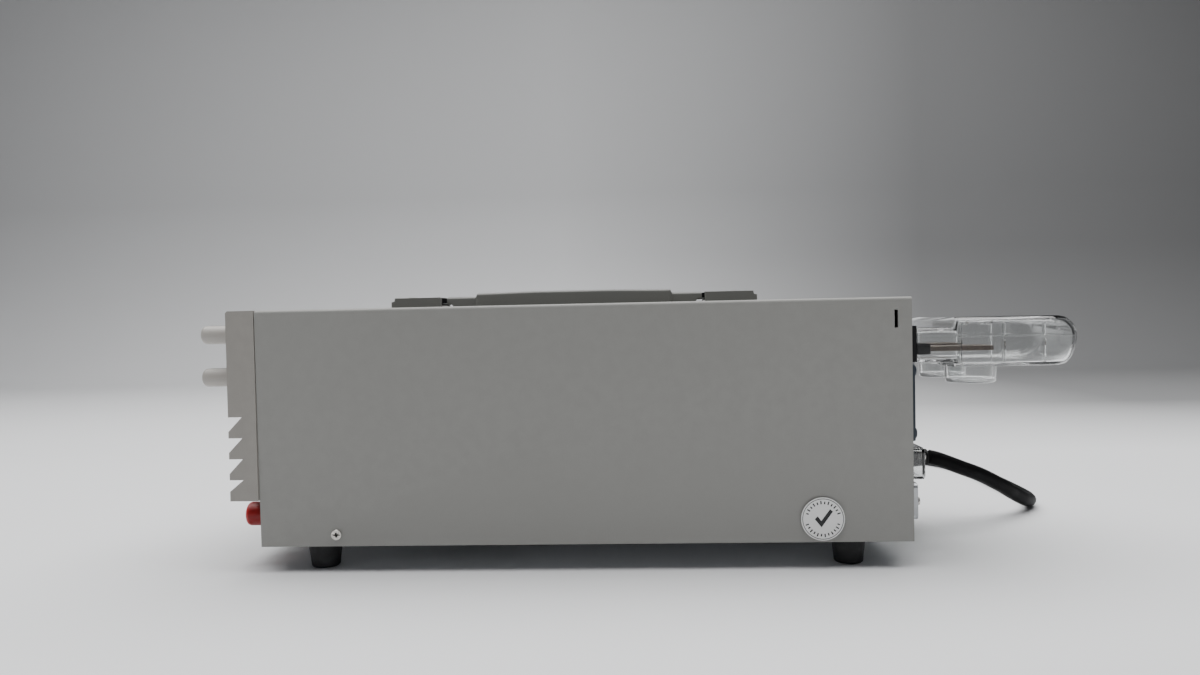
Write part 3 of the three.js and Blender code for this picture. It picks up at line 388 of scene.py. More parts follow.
MATERIALS = {
    "case_paint": powder_coat(),
    "zinc_plate": zinc(),
    "nickel_plate": plated("nickel_plate", (0.62, 0.60, 0.56), 0.28),
    "tinned_copper": plated("tinned_copper", (0.17, 0.14, 0.12), 0.45, (1, 12, 1)),
    "bezel_plastic": moulded("bezel_plastic", (0.305, 0.29, 0.267), 0.5, 0.4, 0.03),
    "dark_plastic": moulded(
        "dark_plastic", (0.008, 0.008, 0.009), 0.5, 0.4, 0.03, 0.7, Specular_IOR_Level=0.25
    ),
    "key_plastic": moulded("key_plastic", (0.23, 0.23, 0.225), 0.5),
    "knob_plastic": moulded("knob_plastic", (0.42, 0.398, 0.37), 0.42, 0.3, 0.015),
    "red_plastic": moulded("red_plastic", (0.50, 0.03, 0.03), 0.32, 0.35, 0.015, 0.85),
    "white_plastic": moulded("white_plastic", (0.74, 0.72, 0.68), 0.38, 0.3, 0.015),
    "green_plastic": moulded("green_plastic", (0.015, 0.14, 0.045), 0.32, 0.35, 0.015, 0.85),
    "strap_plastic": moulded("strap_plastic", (0.165, 0.167, 0.157), 0.5, 0.7, 0.06, 0.93),
    "guard_plastic": moulded("guard_plastic", (0.022, 0.034, 0.05), 0.42, 0.5, 0.03, 0.75),
    "plug_plastic": moulded("plug_plastic", (0.23, 0.24, 0.245), 0.45, 0.6, 0.04),
    "foot_rubber": rubber("foot_rubber", (0.022, 0.022, 0.023)),
    "cord_rubber": cable_jacket(),
    "sleeve_rubber": rubber("sleeve_rubber", (0.008, 0.008, 0.008), 0.55, 0.4),
    "clear_plastic": clear_polycarbonate(),
    "smoked_window": smoked_window(),
    "circuit_board": circuit_board(),
    "bare_aluminium": plated("bare_aluminium", (0.58, 0.59, 0.60), 0.36, (1, 0.05, 8)),
    "ferrite_core": moulded("ferrite_core", (0.03, 0.03, 0.033), 0.6, 0.8, 0.05, 0.7),
    "capacitor_sleeve": moulded("capacitor_sleeve", (0.012, 0.02, 0.045), 0.28, 2.0, 0.01, 0.8),
    "copper_wire": winding("copper_wire", (0.55, 0.20, 0.07), 1.2, 0.85),
    "taped_winding": winding("taped_winding", (0.62, 0.47, 0.08), 3.0, 0.0, 0.45),
    "seal_paper": moulded("seal_paper", (0.86, 0.86, 0.85), 0.6, 0.5, 0.02, 0.96),
    "ink": moulded("ink", (0.02, 0.02, 0.021), 0.6, 0.3, 0.01, 0.6),
    "silk_grey": moulded("silk_grey", (0.10, 0.10, 0.105), 0.55, 0.3, 0.01, 0.8),
    "digit_segment": moulded("digit_segment", (0.34, 0.10, 0.09), 0.4, 0.3, 0.01, 0.9),
}

# ---------------------------------------------------------------------- mesh helpers


def smooth_by_angle(degrees):
    """A modifier group that shades smooth, with edges sharper than an angle kept crisp."""
    group = bpy.data.node_groups.new("smooth_by_angle", "GeometryNodeTree")
    for way in ("INPUT", "OUTPUT"):
        group.interface.new_socket("Geometry", in_out=way, socket_type="NodeSocketGeometry")
    nodes, links = group.nodes, group.links
    clean = nodes.new("GeometryNodeRemoveAttribute")
    clean.inputs["Name"].default_value = "custom_normal"
    angle = nodes.new("GeometryNodeInputMeshEdgeAngle")
    sharp = nodes.new("FunctionNodeCompare")
    sharp.operation = "GREATER_THAN"
    sharp.inputs["B"].default_value = math.radians(degrees)
    edges = nodes.new("GeometryNodeSetShadeSmooth")
    edges.domain = "EDGE"
    edges.inputs["Shade Smooth"].default_value = False
    faces = nodes.new("GeometryNodeSetShadeSmooth")
    faces.domain = "FACE"
    faces.inputs["Shade Smooth"].default_value = True
    chain = [nodes.new("NodeGroupInput"), clean, edges, faces, nodes.new("NodeGroupOutput")]
    for before, after in zip(chain, chain[1:]):
        links.new(before.outputs[0], after.inputs[0])
    links.new(angle.outputs["Unsigned Angle"], sharp.inputs["A"])
    links.new(sharp.outputs["Result"], edges.inputs["Selection"])
    return group


SMOOTH = smooth_by_angle(38)


def soften(obj, bevel, segments=3):
    """Rounds an object's edges, shades it smooth and weighs its normals by face area."""
    if bevel:
        mod = obj.modifiers.new("bevel", "BEVEL")
        mod.width = bevel * MM
        mod.segments = segments
        mod.limit_method = "ANGLE"
        mod.angle_limit = math.radians(34)
        mod.use_clamp_overlap = True
    obj.modifiers.new("smooth", "NODES").node_group = SMOOTH
    weigh = obj.modifiers.new("weigh", "WEIGHTED_NORMAL")
    weigh.keep_sharp = True


def piece(name, bm, material, body="root", slot=None, replaces=(), bevel=0.0, segments=3):
    """Makes a named object of a mesh in millimetres, and lets it ride on a CAD body.

    The slot argument is not used.
    """
    bmesh.ops.recalc_face_normals(bm, faces=bm.faces)
    for vertex in bm.verts:
        vertex.co = to_row(vertex.co)
    mesh = bpy.data.meshes.new(name)
    bm.to_mesh(mesh)
    bm.free()
    mesh.materials.append(MATERIALS[material])
    obj = bpy.data.objects.new(name, mesh)
    bpy.context.scene.collection.objects.link(obj)
    soften(obj, bevel, segments)
    if body:
        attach(obj, body)
    if replaces:
        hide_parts(*replaces)
    slot = slot or material
    return obj


AXES = {
    "x": lambda u, v, w: (w, u, v),
    "y": lambda u, v, w: (u, w, v),
    "z": lambda u, v, w: (u, v, w),
}


def put(bm, axis, u, v, w):
    """A vertex from two coordinates across an axis and one along it."""
    return bm.verts.new(AXES[axis](u, v, w))


def box(bm, x, y, z):
    corners = [bm.verts.new((i, j, k)) for k in z for j in y for i in x]
    for face in ((0, 1, 3, 2), (4, 6, 7, 5), (0, 4, 5, 1), (2, 3, 7, 6), (0, 2, 6, 4), (1, 5, 7, 3)):
        bm.faces.new([corners[i] for i in face])
    return bm


def skin(bm, rings, wrap=True, ends=True):
    """Faces between neighbouring rings of vertices, with the first and last ring filled."""
    for near, far in zip(rings, rings[1:]):
        count = len(near)
        for i in range(count if wrap else count - 1):
            k = (i + 1) % count
            bm.faces.new((near[i], near[k], far[k], far[i]))
    if ends:
        bm.faces.new(rings[0])
        bm.faces.new(rings[-1])
    return bm


def prism(bm, axis, outline, stations):
    """An outline across an axis, carried along it through two or more stations."""
    return skin(bm, [[put(bm, axis, u, v, w) for u, v in outline] for w in stations])


def lathe(bm, axis, centre, profile, sides=40, radius_at=lambda radius, station, angle: radius):
    """A profile of (radius, station) points turned about an axis and closed at both ends."""
    rings = []
    for radius, station in profile:
        ring = []
        for i in range(sides):
            angle = 2 * math.pi * i / sides
            r = radius_at(radius, station, angle)
            u, v = centre[0] + r * math.cos(angle), centre[1] + r * math.sin(angle)
            ring.append(put(bm, axis, u, v, station))
        rings.append(ring)
    return skin(bm, rings)


def rounded(points, radii, steps=5, closed=False):
    """The points of a 2D line with its corners turned into arcs, one radius for each point."""
    count = len(points)
    radii = radii if hasattr(radii, "__len__") else [radii] * count
    made = []
    for i, point in enumerate(points):
        inner = closed or 0 < i < count - 1
        if not inner or radii[i] <= 0:
            made.append(tuple(point))
            continue
        here = Vector(point)
        back = Vector(points[i - 1]) - here
        ahead = Vector(points[(i + 1) % count]) - here
        half = back.angle(ahead) / 2
        reach = min(radii[i] / math.tan(half), back.length * 0.49, ahead.length * 0.49)
        start, end = here + back.normalized() * reach, here + ahead.normalized() * reach
        for k in range(steps + 1):
            t = k / steps
            made.append(tuple((1 - t) ** 2 * start + 2 * t * (1 - t) * here + t * t * end))
    return made


def rectangle(u, v, radius=0.0, steps=5):
    corners = [(u[0], v[0]), (u[1], v[0]), (u[1], v[1]), (u[0], v[1])]
    return rounded(corners, radius, steps, closed=True) if radius else corners


def around(centre, half):
    """The range that reaches half to each side of a centre."""
    return (centre - half, centre + half)


def circle(centre, radius, sides):
    """Points (u, v) evenly spaced around a centre."""
    turns = [2 * math.pi * i / sides for i in range(sides)]
    return [(centre[0] + radius * math.cos(a), centre[1] + radius * math.sin(a)) for a in turns]


def mid(low, high, axes):
    """The middle between two corners along the named axes, such as "xz"."""
    return tuple((getattr(low, axis) + getattr(high, axis)) / 2 for axis in axes)


def tube(bm, path, radius, sides=12):
    """A round bar along a line of points, closed with flat ends."""
    points = [Vector(p) for p in path]
    rings = []
    side = Vector((0, 0, 1))
    for i, point in enumerate(points):
        ahead = points[min(i + 1, len(points) - 1)] - points[max(i - 1, 0)]
        ahead.normalize()
        side = (side - ahead * side.dot(ahead)).normalized()
        if side.length < 0.5:
            side = ahead.orthogonal().normalized()
        other = ahead.cross(side)
        spokes = [side * u + other * v for u, v in circle((0, 0), 1, sides)]
        rings.append([bm.verts.new(point + spoke * radius) for spoke in spokes])
    return skin(bm, rings)


def new():
    return bmesh.new()


def cad(node, material, bevel=0.3, segments=2, merge=1.0):
    """Gives a CAD node its material and rounded edges. Its mesh and its place stay."""
    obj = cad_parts[node]
    obj.data.materials.clear()
    obj.data.materials.append(MATERIALS[material])
    weld = obj.modifiers.new("weld", "WELD")
    weld.merge_threshold = 0.002 * MM
    flat = obj.modifiers.new("flat", "DECIMATE")
    flat.decimate_type = "DISSOLVE"
    flat.angle_limit = math.radians(merge)
    soften(obj, bevel, segments)


# ------------------------------------------------------------------------- mains lead


def smooth_line(points, steps=8):
    """A Catmull-Rom line through the points."""
    line = [Vector(p) for p in points]
    padded = [2 * line[0] - line[1], *line, 2 * line[-1] - line[-2]]
    made = []
    for a, b, c, d in zip(padded, padded[1:], padded[2:], padded[3:]):
        for k in range(steps):
            t = k / steps
            curve = 2 * b + (c - a) * t + (2 * a - 5 * b + 4 * c - d) * t**2
            made.append((curve + (3 * b - a - 3 * c + d) * t**3) / 2)
    return [*made, line[-1]]


def eased(t):
    t = max(0.0, min(1.0, t))
    return t * t * (3 - 2 * t)


def coil_point(turn):
    """The lead's centre after so many turns. Each turn steps to the next near its end."""
    index = min(int(turn), len(COIL_TURNS) - 2)
    (radius, height), (next_radius, next_height) = COIL_TURNS[index], COIL_TURNS[index + 1]
    climbs = next_height > height
    start, width = CLIMB_WINDOW if climbs else SHIFT_WINDOW
    share = eased((turn - index - start) / width)
    angle = math.pi + 2 * math.pi * turn
    crossing = max(0.0, (turn % 1 - CREST_WINDOW[0]) / CREST_WINDOW[1])
    crest = CREST_RISE * math.sin(math.pi * crossing) if turn > 2 + CREST_WINDOW[0] else 0
    r = radius + (next_radius - radius) * share
    z = height + (next_height - height) * share + crest
    return (COIL_CENTRE[0] + r * math.cos(angle), COIL_CENTRE[1] + r * math.sin(angle), z)


def lead_line():
    """The whole centreline, from the strain relief through the coil to the plug."""
    steps = 36
    count = int(COIL_TURN_COUNT * steps)
    coil = [coil_point(i / steps) for i in range(count + 1)]
    straight = [(-259, 374, 4.6), (-259, 363, 4.6)]
    sleeve = PLUG_X - 20.5
    tail = [(x, PLUG_AXIS[0], 12.4) for x in (-188, -176, -166, sleeve)]
    return smooth_line([*CORD_ROUTE, *straight], 6) + [Vector(p) for p in (*coil, *tail)]


def make_lead(with_pieces):
    data = bpy.data.curves.new("mains_lead", "CURVE")
    data.dimensions = "3D"
    data.bevel_depth = CORD_DIAMETER / 2 * MM
    data.bevel_resolution = 5
    data.use_fill_caps = True
    line = lead_line()
    spline = data.splines.new("POLY")
    spline.points.add(len(line) - 1)
    for point, place in zip(spline.points, line):
        point.co = (*to_row(place), 1)
    spline.use_smooth = True
    data.materials.append(MATERIALS["cord_rubber"])
    lead = bpy.data.objects.new("mains_lead", data)
    bpy.context.scene.collection.objects.link(lead)
    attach(lead, "root")
    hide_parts("power_cord", "cord_coil")


def make_tie():
    """A strap around the coil's turns, with its tail lapped over the top."""
    angle = math.radians(35)
    inner, outer, top = 36.0, 64.6, 17.6
    across = Vector((math.cos(angle), math.sin(angle), 0))
    along = Vector((-math.sin(angle), math.cos(angle), 0))
    centre = Vector((*COIL_CENTRE, 0))
    thickness, width = 0.9, 11
    loop = rectangle((inner, outer), (0.05, top), 4.5, 6)
    middle = Vector(((inner + outer) / 2, top / 2))
    bm = new()
    rings = []
    for u, v in loop:
        away = (Vector((u, v)) - middle).normalized() * thickness
        ring = []
        for side, lift in ((-1, 0), (1, 0), (1, 1), (-1, 1)):
            r, z = u + away.x * lift, max(0.02, v + away.y * lift)
            ring.append(bm.verts.new(centre + across * r + along * side * width / 2 + Vector((0, 0, z))))
        rings.append(ring)
    skin(bm, [*rings, rings[0]], ends=False)
    lap = [(46, top + 0.9), (61, top + 0.9), (62.5, top + 1.5)]
    lap += [(61, top + 2.0), (46, top + 2.0), (44.5, top + 1.4)]
    lap_rings = []
    for side in (-1, 1):
        ends = [centre + across * r + along * side * (width / 2 - 0.4) + Vector((0, 0, z)) for r, z in lap]
        lap_rings.append([bm.verts.new(p) for p in ends])
    skin(bm, lap_rings)
    return piece("lead_tie", bm, "sleeve_rubber", slot="cord_rubber", bevel=0.25, segments=2)


def make_plug():
    """Moulded plug: ribbed sleeve, waisted body with finger grips, face, blades and earth pin."""
    depth, height = PLUG_AXIS
    bm = new()
    rows = [(-0.5, 7.4, 7.4), (1.5, 9.5, 9), (6, 11.6, 10.4), (12, 12.6, 11.2), (18, 12.2, 10.8)]
    rows += [(25, 12.6, 11.2), (29, 13, 11.4), (34.5, 13, 11.4), (36, 12.2, 10.8)]
    rings = []
    for x, half_width, half_height in rows:
        middle = 0.2 + 11.4
        outline = rectangle(around(depth, half_width), around(middle, half_height), 5, 6)
        rings.append([bm.verts.new((PLUG_X + x, y, z)) for y, z in outline])
    skin(bm, rings)
    for i in range(5):
        x = PLUG_X + 13.5 + 2.6 * i
        for side in (-1, 1):
            y = depth + side * 12.3
            box(bm, around(x, 0.6), around(y, 0.75), around(height - 0.6, 6.5 - abs(i - 2) * 0.5))
    plug = piece("mains_plug", bm, "plug_plastic", replaces=["cord_plug"], bevel=0.35)
    sleeve = new()
    stations = [-20 + 0.5 * i for i in range(43)]
    profile = []
    for i, station in enumerate(stations):
        groove = 0.0 if i % 6 < 3 else -0.75
        profile.append((5.35 + 0.075 * (station + 20) + groove, PLUG_X + station))
    lathe(sleeve, "x", (depth, height), profile, 28)
    sleeve = piece("mains_plug_sleeve", sleeve, "plug_plastic", bevel=0.12, segments=1)
    pins = new()
    root = PLUG_X + 34  # where the blades and the earth pin start, inside the plug's face
    for side in (-1, 1):
        z = around(height - 2, 3.1)
        blade = rectangle((root, root + 19), z, [0, 1.4, 1.4, 0], 4)
        prism(pins, "y", blade, around(depth + side * 6.35, 0.75))
    earth = [(2.4, root), (2.4, root + 18), (2.1, root + 19.6), (1.2, root + 20.8)]
    lathe(pins, "x", (depth, height + 5.5), earth, 24)
    pins = piece("mains_plug_pins", pins, "nickel_plate", bevel=0.2, segments=2)
    return [plug, sleeve, pins]


make_lead([*make_plug(), make_tie()])

# ----------------------------------------------------------------------- small fasteners


def cross_screw(
    name, axis, centre, face, out, head, body="root", countersunk=True, material="nickel_plate"
):
    """A cross-recessed head whose outer face lies at a station, facing out along the axis."""
    bm = new()
    rise = 0 if countersunk else head * 0.45
    depth = -1.2 if countersunk else 0.05
    rim = head * (0.62 if countersunk else 1.0)
    sides = 48

    def ring(radius, lift):
        return [put(bm, axis, u, v, face + out * lift) for u, v in circle(centre, radius, sides)]

    shell = [ring(rim, depth), ring(head, -0.12 if countersunk else 0.05)]
    if not countersunk:
        shell += [ring(head * 0.97, rise * 0.5), ring(head * 0.82, rise * 0.88)]
    shell.append(ring(head * (0.95 if countersunk else 0.6), rise))
    skin(bm, shell, ends=False)
    bm.faces.new(shell[0])
    arm, reach = head * 0.12, head * 0.5
    steps = [(arm, arm), (reach, arm), (reach, -arm), (arm, -arm), (arm, -reach), (-arm, -reach)]
    steps += [(-arm, -arm), (-reach, -arm), (-reach, arm), (-arm, arm), (-arm, reach), (arm, reach)]
    recess = -head * 0.3

    def cross(scale, lift):
        outline = [(centre[0] + u * scale, centre[1] + v * scale) for u, v in steps]
        return [put(bm, axis, u, v, face + out * lift) for u, v in outline]

    top, low = cross(1, rise), cross(0.45, rise + recess)
    skin(bm, [top, low], ends=False)
    bm.faces.new(low)
    loops = []
    for loop in (shell[-1], top):
        loops += [bm.edges.get(pair) for pair in zip(loop, loop[1:] + loop[:1])]
    bmesh.ops.bridge_loops(bm, edges=loops)
    return piece(name, bm, material, body, slot="nickel_plate")


SCREW_HEAD = 2.7


def make_cover_screws():
    for side, label in ((1, "right"), (-1, "left")):
        for end in ("front", "rear"):
            low, high = ends_of(f"cover_screw_{label}_{end}")
            centre = mid(low, high, "yz")
            face = side * (HALF_WIDTH - 0.05)
            name = f"cover_screw_head_{label}_{end}"
            screw = cross_screw(name, "x", centre, face, side, SCREW_HEAD)
            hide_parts(f"cover_screw_{label}_{end}")


make_cover_screws()

# --------------------------------------------------------------------- casing and seal


def make_casing():
    cad("top_cover", "case_paint", 0.35, 2)
    cad("chassis_base", "zinc_plate", 0.2, 1)
    cad("rear_panel", "case_paint", 0.2, 2)
    cad("front_subpanel", "case_paint", 0.2, 1)
    cad("front_bezel", "bezel_plastic", 0.45, 3)


def make_seal():
    """A round inspection seal over the rear screw: paper disc, printed ring, ticks, check mark."""
    rise = 5.9  # of the seal's middle over the screw's
    low, high = ends_of("cover_screw_right_rear")
    centre = ((low.y + high.y) / 2, (low.z + high.z) / 2 + rise)
    radius = 11.0
    start = HALF_WIDTH + 0.01
    disc = new()
    paper = [(radius, start), (radius, start + PAPER), (radius - 0.25, start + 2 * PAPER)]
    lathe(disc, "x", centre, paper, 72)
    piece("inspection_seal", disc, "seal_paper", slot="white_plastic")
    face = (start + 1.8 * PAPER, start + 2.6 * PAPER)
    print_bm = new()
    rings = []
    for r, x in ((10.4, face[0]), (10.4, face[1]), (10.1, face[1]), (10.1, face[0])):
        rings.append([print_bm.verts.new((x, u, v)) for u, v in circle(centre, r, 72)])
    skin(print_bm, [*rings, rings[0]], ends=False)
    for i in range(28):
        if i % 14 in (0, 13):
            continue
        turn = 2 * math.pi * (i + 0.5) / 28
        inner, outer = 7.6, 9.3 if i % 2 else 8.9
        along = Vector((0, math.cos(turn), math.sin(turn)))
        side = Vector((0, -math.sin(turn), math.cos(turn))) * 0.32
        middle = Vector((0, *centre))
        quads = [middle + along * inner - side, middle + along * inner + side]
        quads += [middle + along * outer + side, middle + along * outer - side]
        skin(print_bm, [[print_bm.verts.new(p + Vector((x, 0, 0))) for p in quads] for x in face])
    check = [(-4.2, 0.6), (-2.6, 2.0), (-0.9, -0.4), (3.6, 5.6), (5.0, 4.4), (-0.8, -3.6)]
    outline = [(centre[0] + u, centre[1] - 0.6 + v) for u, v in check]
    prism(print_bm, "x", outline, face)
    piece("inspection_seal_print", print_bm, "ink", slot="dark_plastic")


def make_feet():
    """Moulded rubber feet, each with a washer and its screw deep in the recess."""
    for label in ("left", "right"):
        for end in ("front", "rear"):
            node = f"foot_{end}_{label}"
            low, high = ends_of(node)
            centre = mid(low, high, "xy")
            top = high.z
            outer = [(3.2, 7), (3.2, 0.0), (7.4, 0.0), (7.9, top * 0.35)]
            outer += [(9.0, top - 1.6), (9.0, top), (NEAR_AXIS, top)]
            profile = rounded(outer, [0, 0.5, 1.3, 2, 0.8, 0.3, 0], 5)
            bm = new()
            lathe(bm, "z", centre, [(NEAR_AXIS, 7), *profile], 48)
            piece(node + "_moulding", bm, "foot_rubber", replaces=[node])
            washer = new()
            lathe(washer, "z", centre, [(3.0, 6.9), (3.0, 6.2), (1.0, 6.2), (1.0, 6.9)], 32)
            piece(node + "_washer", washer, "zinc_plate", bevel=0.1, segments=1)
            cross_screw(node + "_screw", "z", centre, 6.2, -1, 2.5, countersunk=False)


make_casing()
make_seal()
make_feet()

# ---------------------------------------------------------------------------- handle

STRAP_LOW, STRAP_HIGH = ends_of("handle_strap")
FRONT_MOUTH = ends_of("handle_cap_front")[1].y
REAR_MOUTH = ends_of("handle_cap_rear")[0].y
BAND_TOP = 6.7  # above the roof
BAND_UNDER = 0.5
TONGUE_ROOM = 2.5  # underside of the strap's ends, over the tongues that slide out below them
GRIP_START, GRIP_END = 105.0, 219.4
GRIP_TOP = 9.2
GRIP_CROWN = 0.6  # how much the grip rises from its ends to its middle
GRIP_UNDER = 0.35


def strap_section(depth):
    """(half-width, underside, top) of the strap at a depth, heights above the roof."""
    into = min(depth - GRIP_START, GRIP_END - depth)
    step = eased((into + 0.3) / 1.3)
    crown = eased(into / 40)
    half = 9.5 + 2.5 * eased((into + 0.6) / 2.4)
    top = BAND_TOP + step * (GRIP_TOP - GRIP_CROWN - BAND_TOP + GRIP_CROWN * crown)
    under = BAND_UNDER + (GRIP_UNDER - BAND_UNDER) * step
    from_end = min(depth - STRAP_LOW.y, STRAP_HIGH.y - depth)
    under += (TONGUE_ROOM - BAND_UNDER) * (1 - eased((from_end - 2.5) / 1.5))
    return half, under, top


def strap_half(name, start, end, step):
    """One half of the strap as a crowned band, from its end cap to the middle."""
    bm = new()
    rings = []
    count = round(abs(end - start) / step)
    depths = {start + (end - start) * i / count for i in range(count + 1)}
    corner = GRIP_START if start < end else GRIP_END
    depths |= {corner + 0.25 * k for k in range(-6, 7)}
    for depth in sorted(depths):
        half, under, top = strap_section(depth)
        crown = 0.5
        shoulder = half * 0.45
        corners = [(-half, under), (half, under), (half, top - crown)]
        corners += [(shoulder, top), (-shoulder, top), (-half, top - crown)]
        outline = rounded(corners, [0.9, 0.9, 1.3, 3, 3, 1.3], 4, True)
        rings.append([bm.verts.new((u, depth, ROOF_Z + v)) for u, v in outline])
    skin(bm, rings)
    return piece(name, bm, "strap_plastic", None, slot="strap_plastic")


def make_handle():
    """The strap in two halves that rise from its end caps to a crowned grip in the middle."""
    cad("handle_cap_front", "strap_plastic", 0.25, 2)
    cad("handle_cap_rear", "strap_plastic", 0.25, 2)
    cad("handle_tongue_front", "nickel_plate", 0.15, 1)
    cad("handle_tongue_rear", "nickel_plate", 0.15, 1)
    middle = (STRAP_LOW.y + STRAP_HIGH.y) / 2
    reach = 12  # flat middle stretch on each side of the middle
    front = strap_half("handle_strap_front_half", STRAP_LOW.y, middle, 1.3)
    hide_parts("handle_strap")
    rear = strap_half("handle_strap_rear_half", STRAP_HIGH.y, middle, 1.3)
    halves = (
        (front, STRAP_LOW.y + 1, middle - reach),
        (rear, STRAP_HIGH.y - 1, middle + reach),
    )
    for half, start, end in halves:
        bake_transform(half)
    mouths = (("front", FRONT_MOUTH, STRAP_LOW.y), ("rear", REAR_MOUTH, STRAP_HIGH.y))
    for label, mouth, strap_end in mouths:
        way = math.copysign(1.0, strap_end - mouth)
        gap = sorted((mouth - 1.5 * way, strap_end + 0.4 * way))
        link = new()
        box(link, around(0, 8.8), gap, (ROOF_Z + 3.5, ROOF_Z + 6.1))
        piece(f"handle_link_{label}", link, "dark_plastic", bevel=0.4)
        leaf = new()
        box(leaf, around(0, 8.2), gap, (ROOF_Z + 2.55, ROOF_Z + 3.3))
        piece(f"handle_leaf_{label}", leaf, "zinc_plate", bevel=0.15, segments=1)
    for label in ("front", "rear"):
        low, high = ends_of(f"handle_cap_{label}")
        depth = (low.y + high.y) / 2 + (-3 if label == "front" else 3)
        for x in (-8.5, 8.5):
            plug = new()
            line = [(2.9, high.z - 0.5), (2.9, high.z + 0.1), (2.5, high.z + 0.3)]
            lathe(plug, "z", (x, depth), line, 32)
            name = f"handle_cap_{label}_plug_{'right' if x > 0 else 'left'}"
            piece(name, plug, "strap_plastic")


make_handle()

# -------------------------------------------------------------------------- front panel


def make_knob(quantity):
    """A knob with its pointer line, and the scale printed around it."""
    node = f"{quantity}_knob"
    low, high = ends_of(node)
    centre = mid(low, high, "xz")
    tip, back = low.y, high.y
    radius = (high.x - low.x) / 2 - 0.02
    line = [(NEAR_AXIS, tip), (radius, tip), (radius, back - 1.4)]
    line += [(radius - 0.5, back - 1.0), (radius - 0.5, back), (NEAR_AXIS, back)]
    profile = rounded(line, [0, 2.9, 0.3, 0.3, 0.2, 0], 8)
    bm = new()
    lathe(bm, "y", centre, profile, 64)
    piece(f"{quantity}_knob_cap", bm, "knob_plastic", node, "knob_plastic", [node])
    mark = new()
    box(mark, around(centre[0], 0.35), (tip - PAPER, tip + 0.3), (centre[1] + 0.4, centre[1] + 2.9))
    ridge = (centre[1] + radius - 0.3, centre[1] + radius + PAPER)
    box(mark, around(centre[0], 0.35), (tip + 3.6, tip + 12), ridge)
    piece(f"{quantity}_knob_mark", mark, "silk_grey", node, "dark_plastic")
    scale = new()
    for i in range(11):
        turn = math.radians(90 + 150 - 30 * i)
        inner, outer = 7.0, 8.4 if i % 5 else 9.2
        along = Vector((math.cos(turn), 0, math.sin(turn)))
        side = Vector((-math.sin(turn), 0, math.cos(turn))) * 0.17
        middle = Vector((centre[0], 0, centre[1]))
        near, far = middle + along * inner, middle + along * outer
        corners = [near - side, far - side, far + side, near + side]
        face = (BEZEL_FACE - PAPER / 2, BEZEL_FACE + 0.2)
        skin(scale, [[scale.verts.new(p + Vector((0, y, 0))) for p in corners] for y in face])
    piece(f"{quantity}_scale", scale, "silk_grey", slot="dark_plastic")


def make_post(name, material, slot):
    """A binding post: plastic collar, plated stud and a fluted cap with a plug socket."""
    cap_low, cap_high = ends_of(f"{name}_post_cap")
    base_low, base_high = ends_of(f"{name}_post_base")
    centre = mid(cap_low, cap_high, "xz")
    radius = (cap_high.x - cap_low.x) / 2
    tip, back = cap_low.y, cap_high.y
    line = [(2.35, tip + 9), (2.35, tip), (radius, tip), (radius, back), (3.2, back), (3.2, tip + 9)]
    profile = rounded(line, [0, 0.5, 2.4, 0.5, 0.3, 0], 7)

    def fluted(r, station, angle):
        share = eased((station - tip - 3) / 2) * eased((back - 1.5 - station) / 1)
        outer = r > radius - 0.1
        return r - (0.22 * (1 - math.cos(18 * angle)) * share if outer else 0)

    stations = [back - 1 - 0.75 * i for i in range(14)]
    barrel = [(radius, s) for s in sorted(s for s in stations if tip + 3 < s < back - 0.8)]
    split = next(i for i, (r, s) in enumerate(profile) if r > radius - 0.01 and s > tip + 2)
    bm = new()
    lathe(bm, "y", centre, [*profile[:split], *barrel, *profile[split:]], 144, fluted)
    body = f"{name}_post_cap"
    piece(f"{name}_post_knob", bm, material, body, slot, [body])
    collar = new()
    face = base_high.y if base_high.y < 1 else 0.5
    foot = [(3.0, face), (radius, face), (radius, back + 0.35), (3.0, back + 0.35)]
    lathe(collar, "y", centre, rounded(foot, [0, 0.3, 0.5, 0], 5), 48)
    piece(f"{name}_post_collar", collar, material, slot=slot, replaces=[f"{name}_post_base"])
    stud = new()
    shaft = [(2.05, base_low.y + 6), (2.05, base_low.y), (2.8, base_low.y), (3.0, base_low.y + 0.5)]
    for i in range(16):
        station = base_low.y + 1 + 0.55 * i
        shaft += [(3.0, station), (2.72, station + 0.27)]
    shaft += [(3.0, 0.4), (3.0, 12)]
    lathe(stud, "y", centre, shaft, 32)
    piece(f"{name}_post_stud", stud, "nickel_plate")
    nut = new()
    prism(nut, "y", circle(centre, 5.2, 6), (2.1, 5.2))
    piece(f"{name}_post_nut", nut, "nickel_plate", bevel=0.3)


SEGMENTS = {
    "top": (0, 1, "flat"),
    "middle": (0, 0, "flat"),
    "bottom": (0, -1, "flat"),
    "upper_left": (-0.5, 0.5, "upright"),
    "upper_right": (0.5, 0.5, "upright"),
    "lower_left": (-0.5, -0.5, "upright"),
    "lower_right": (0.5, -0.5, "upright"),
}


def segment_outline(centre, height, width, placing):
    """One bar of a seven-segment digit as a long hexagon."""
    u, v, lie = placing
    middle = (centre[0] + u * width, centre[1] + v * height / 2)
    length = (width if lie == "flat" else height / 2) / 2 - 0.35
    half = 0.55
    tip = length - half
    points = [(-length, 0), (-tip, half), (tip, half), (length, 0), (tip, -half), (-tip, -half)]
    if lie == "upright":
        points = [(b, a) for a, b in points]
    return [(middle[0] + a, middle[1] + b) for a, b in points]


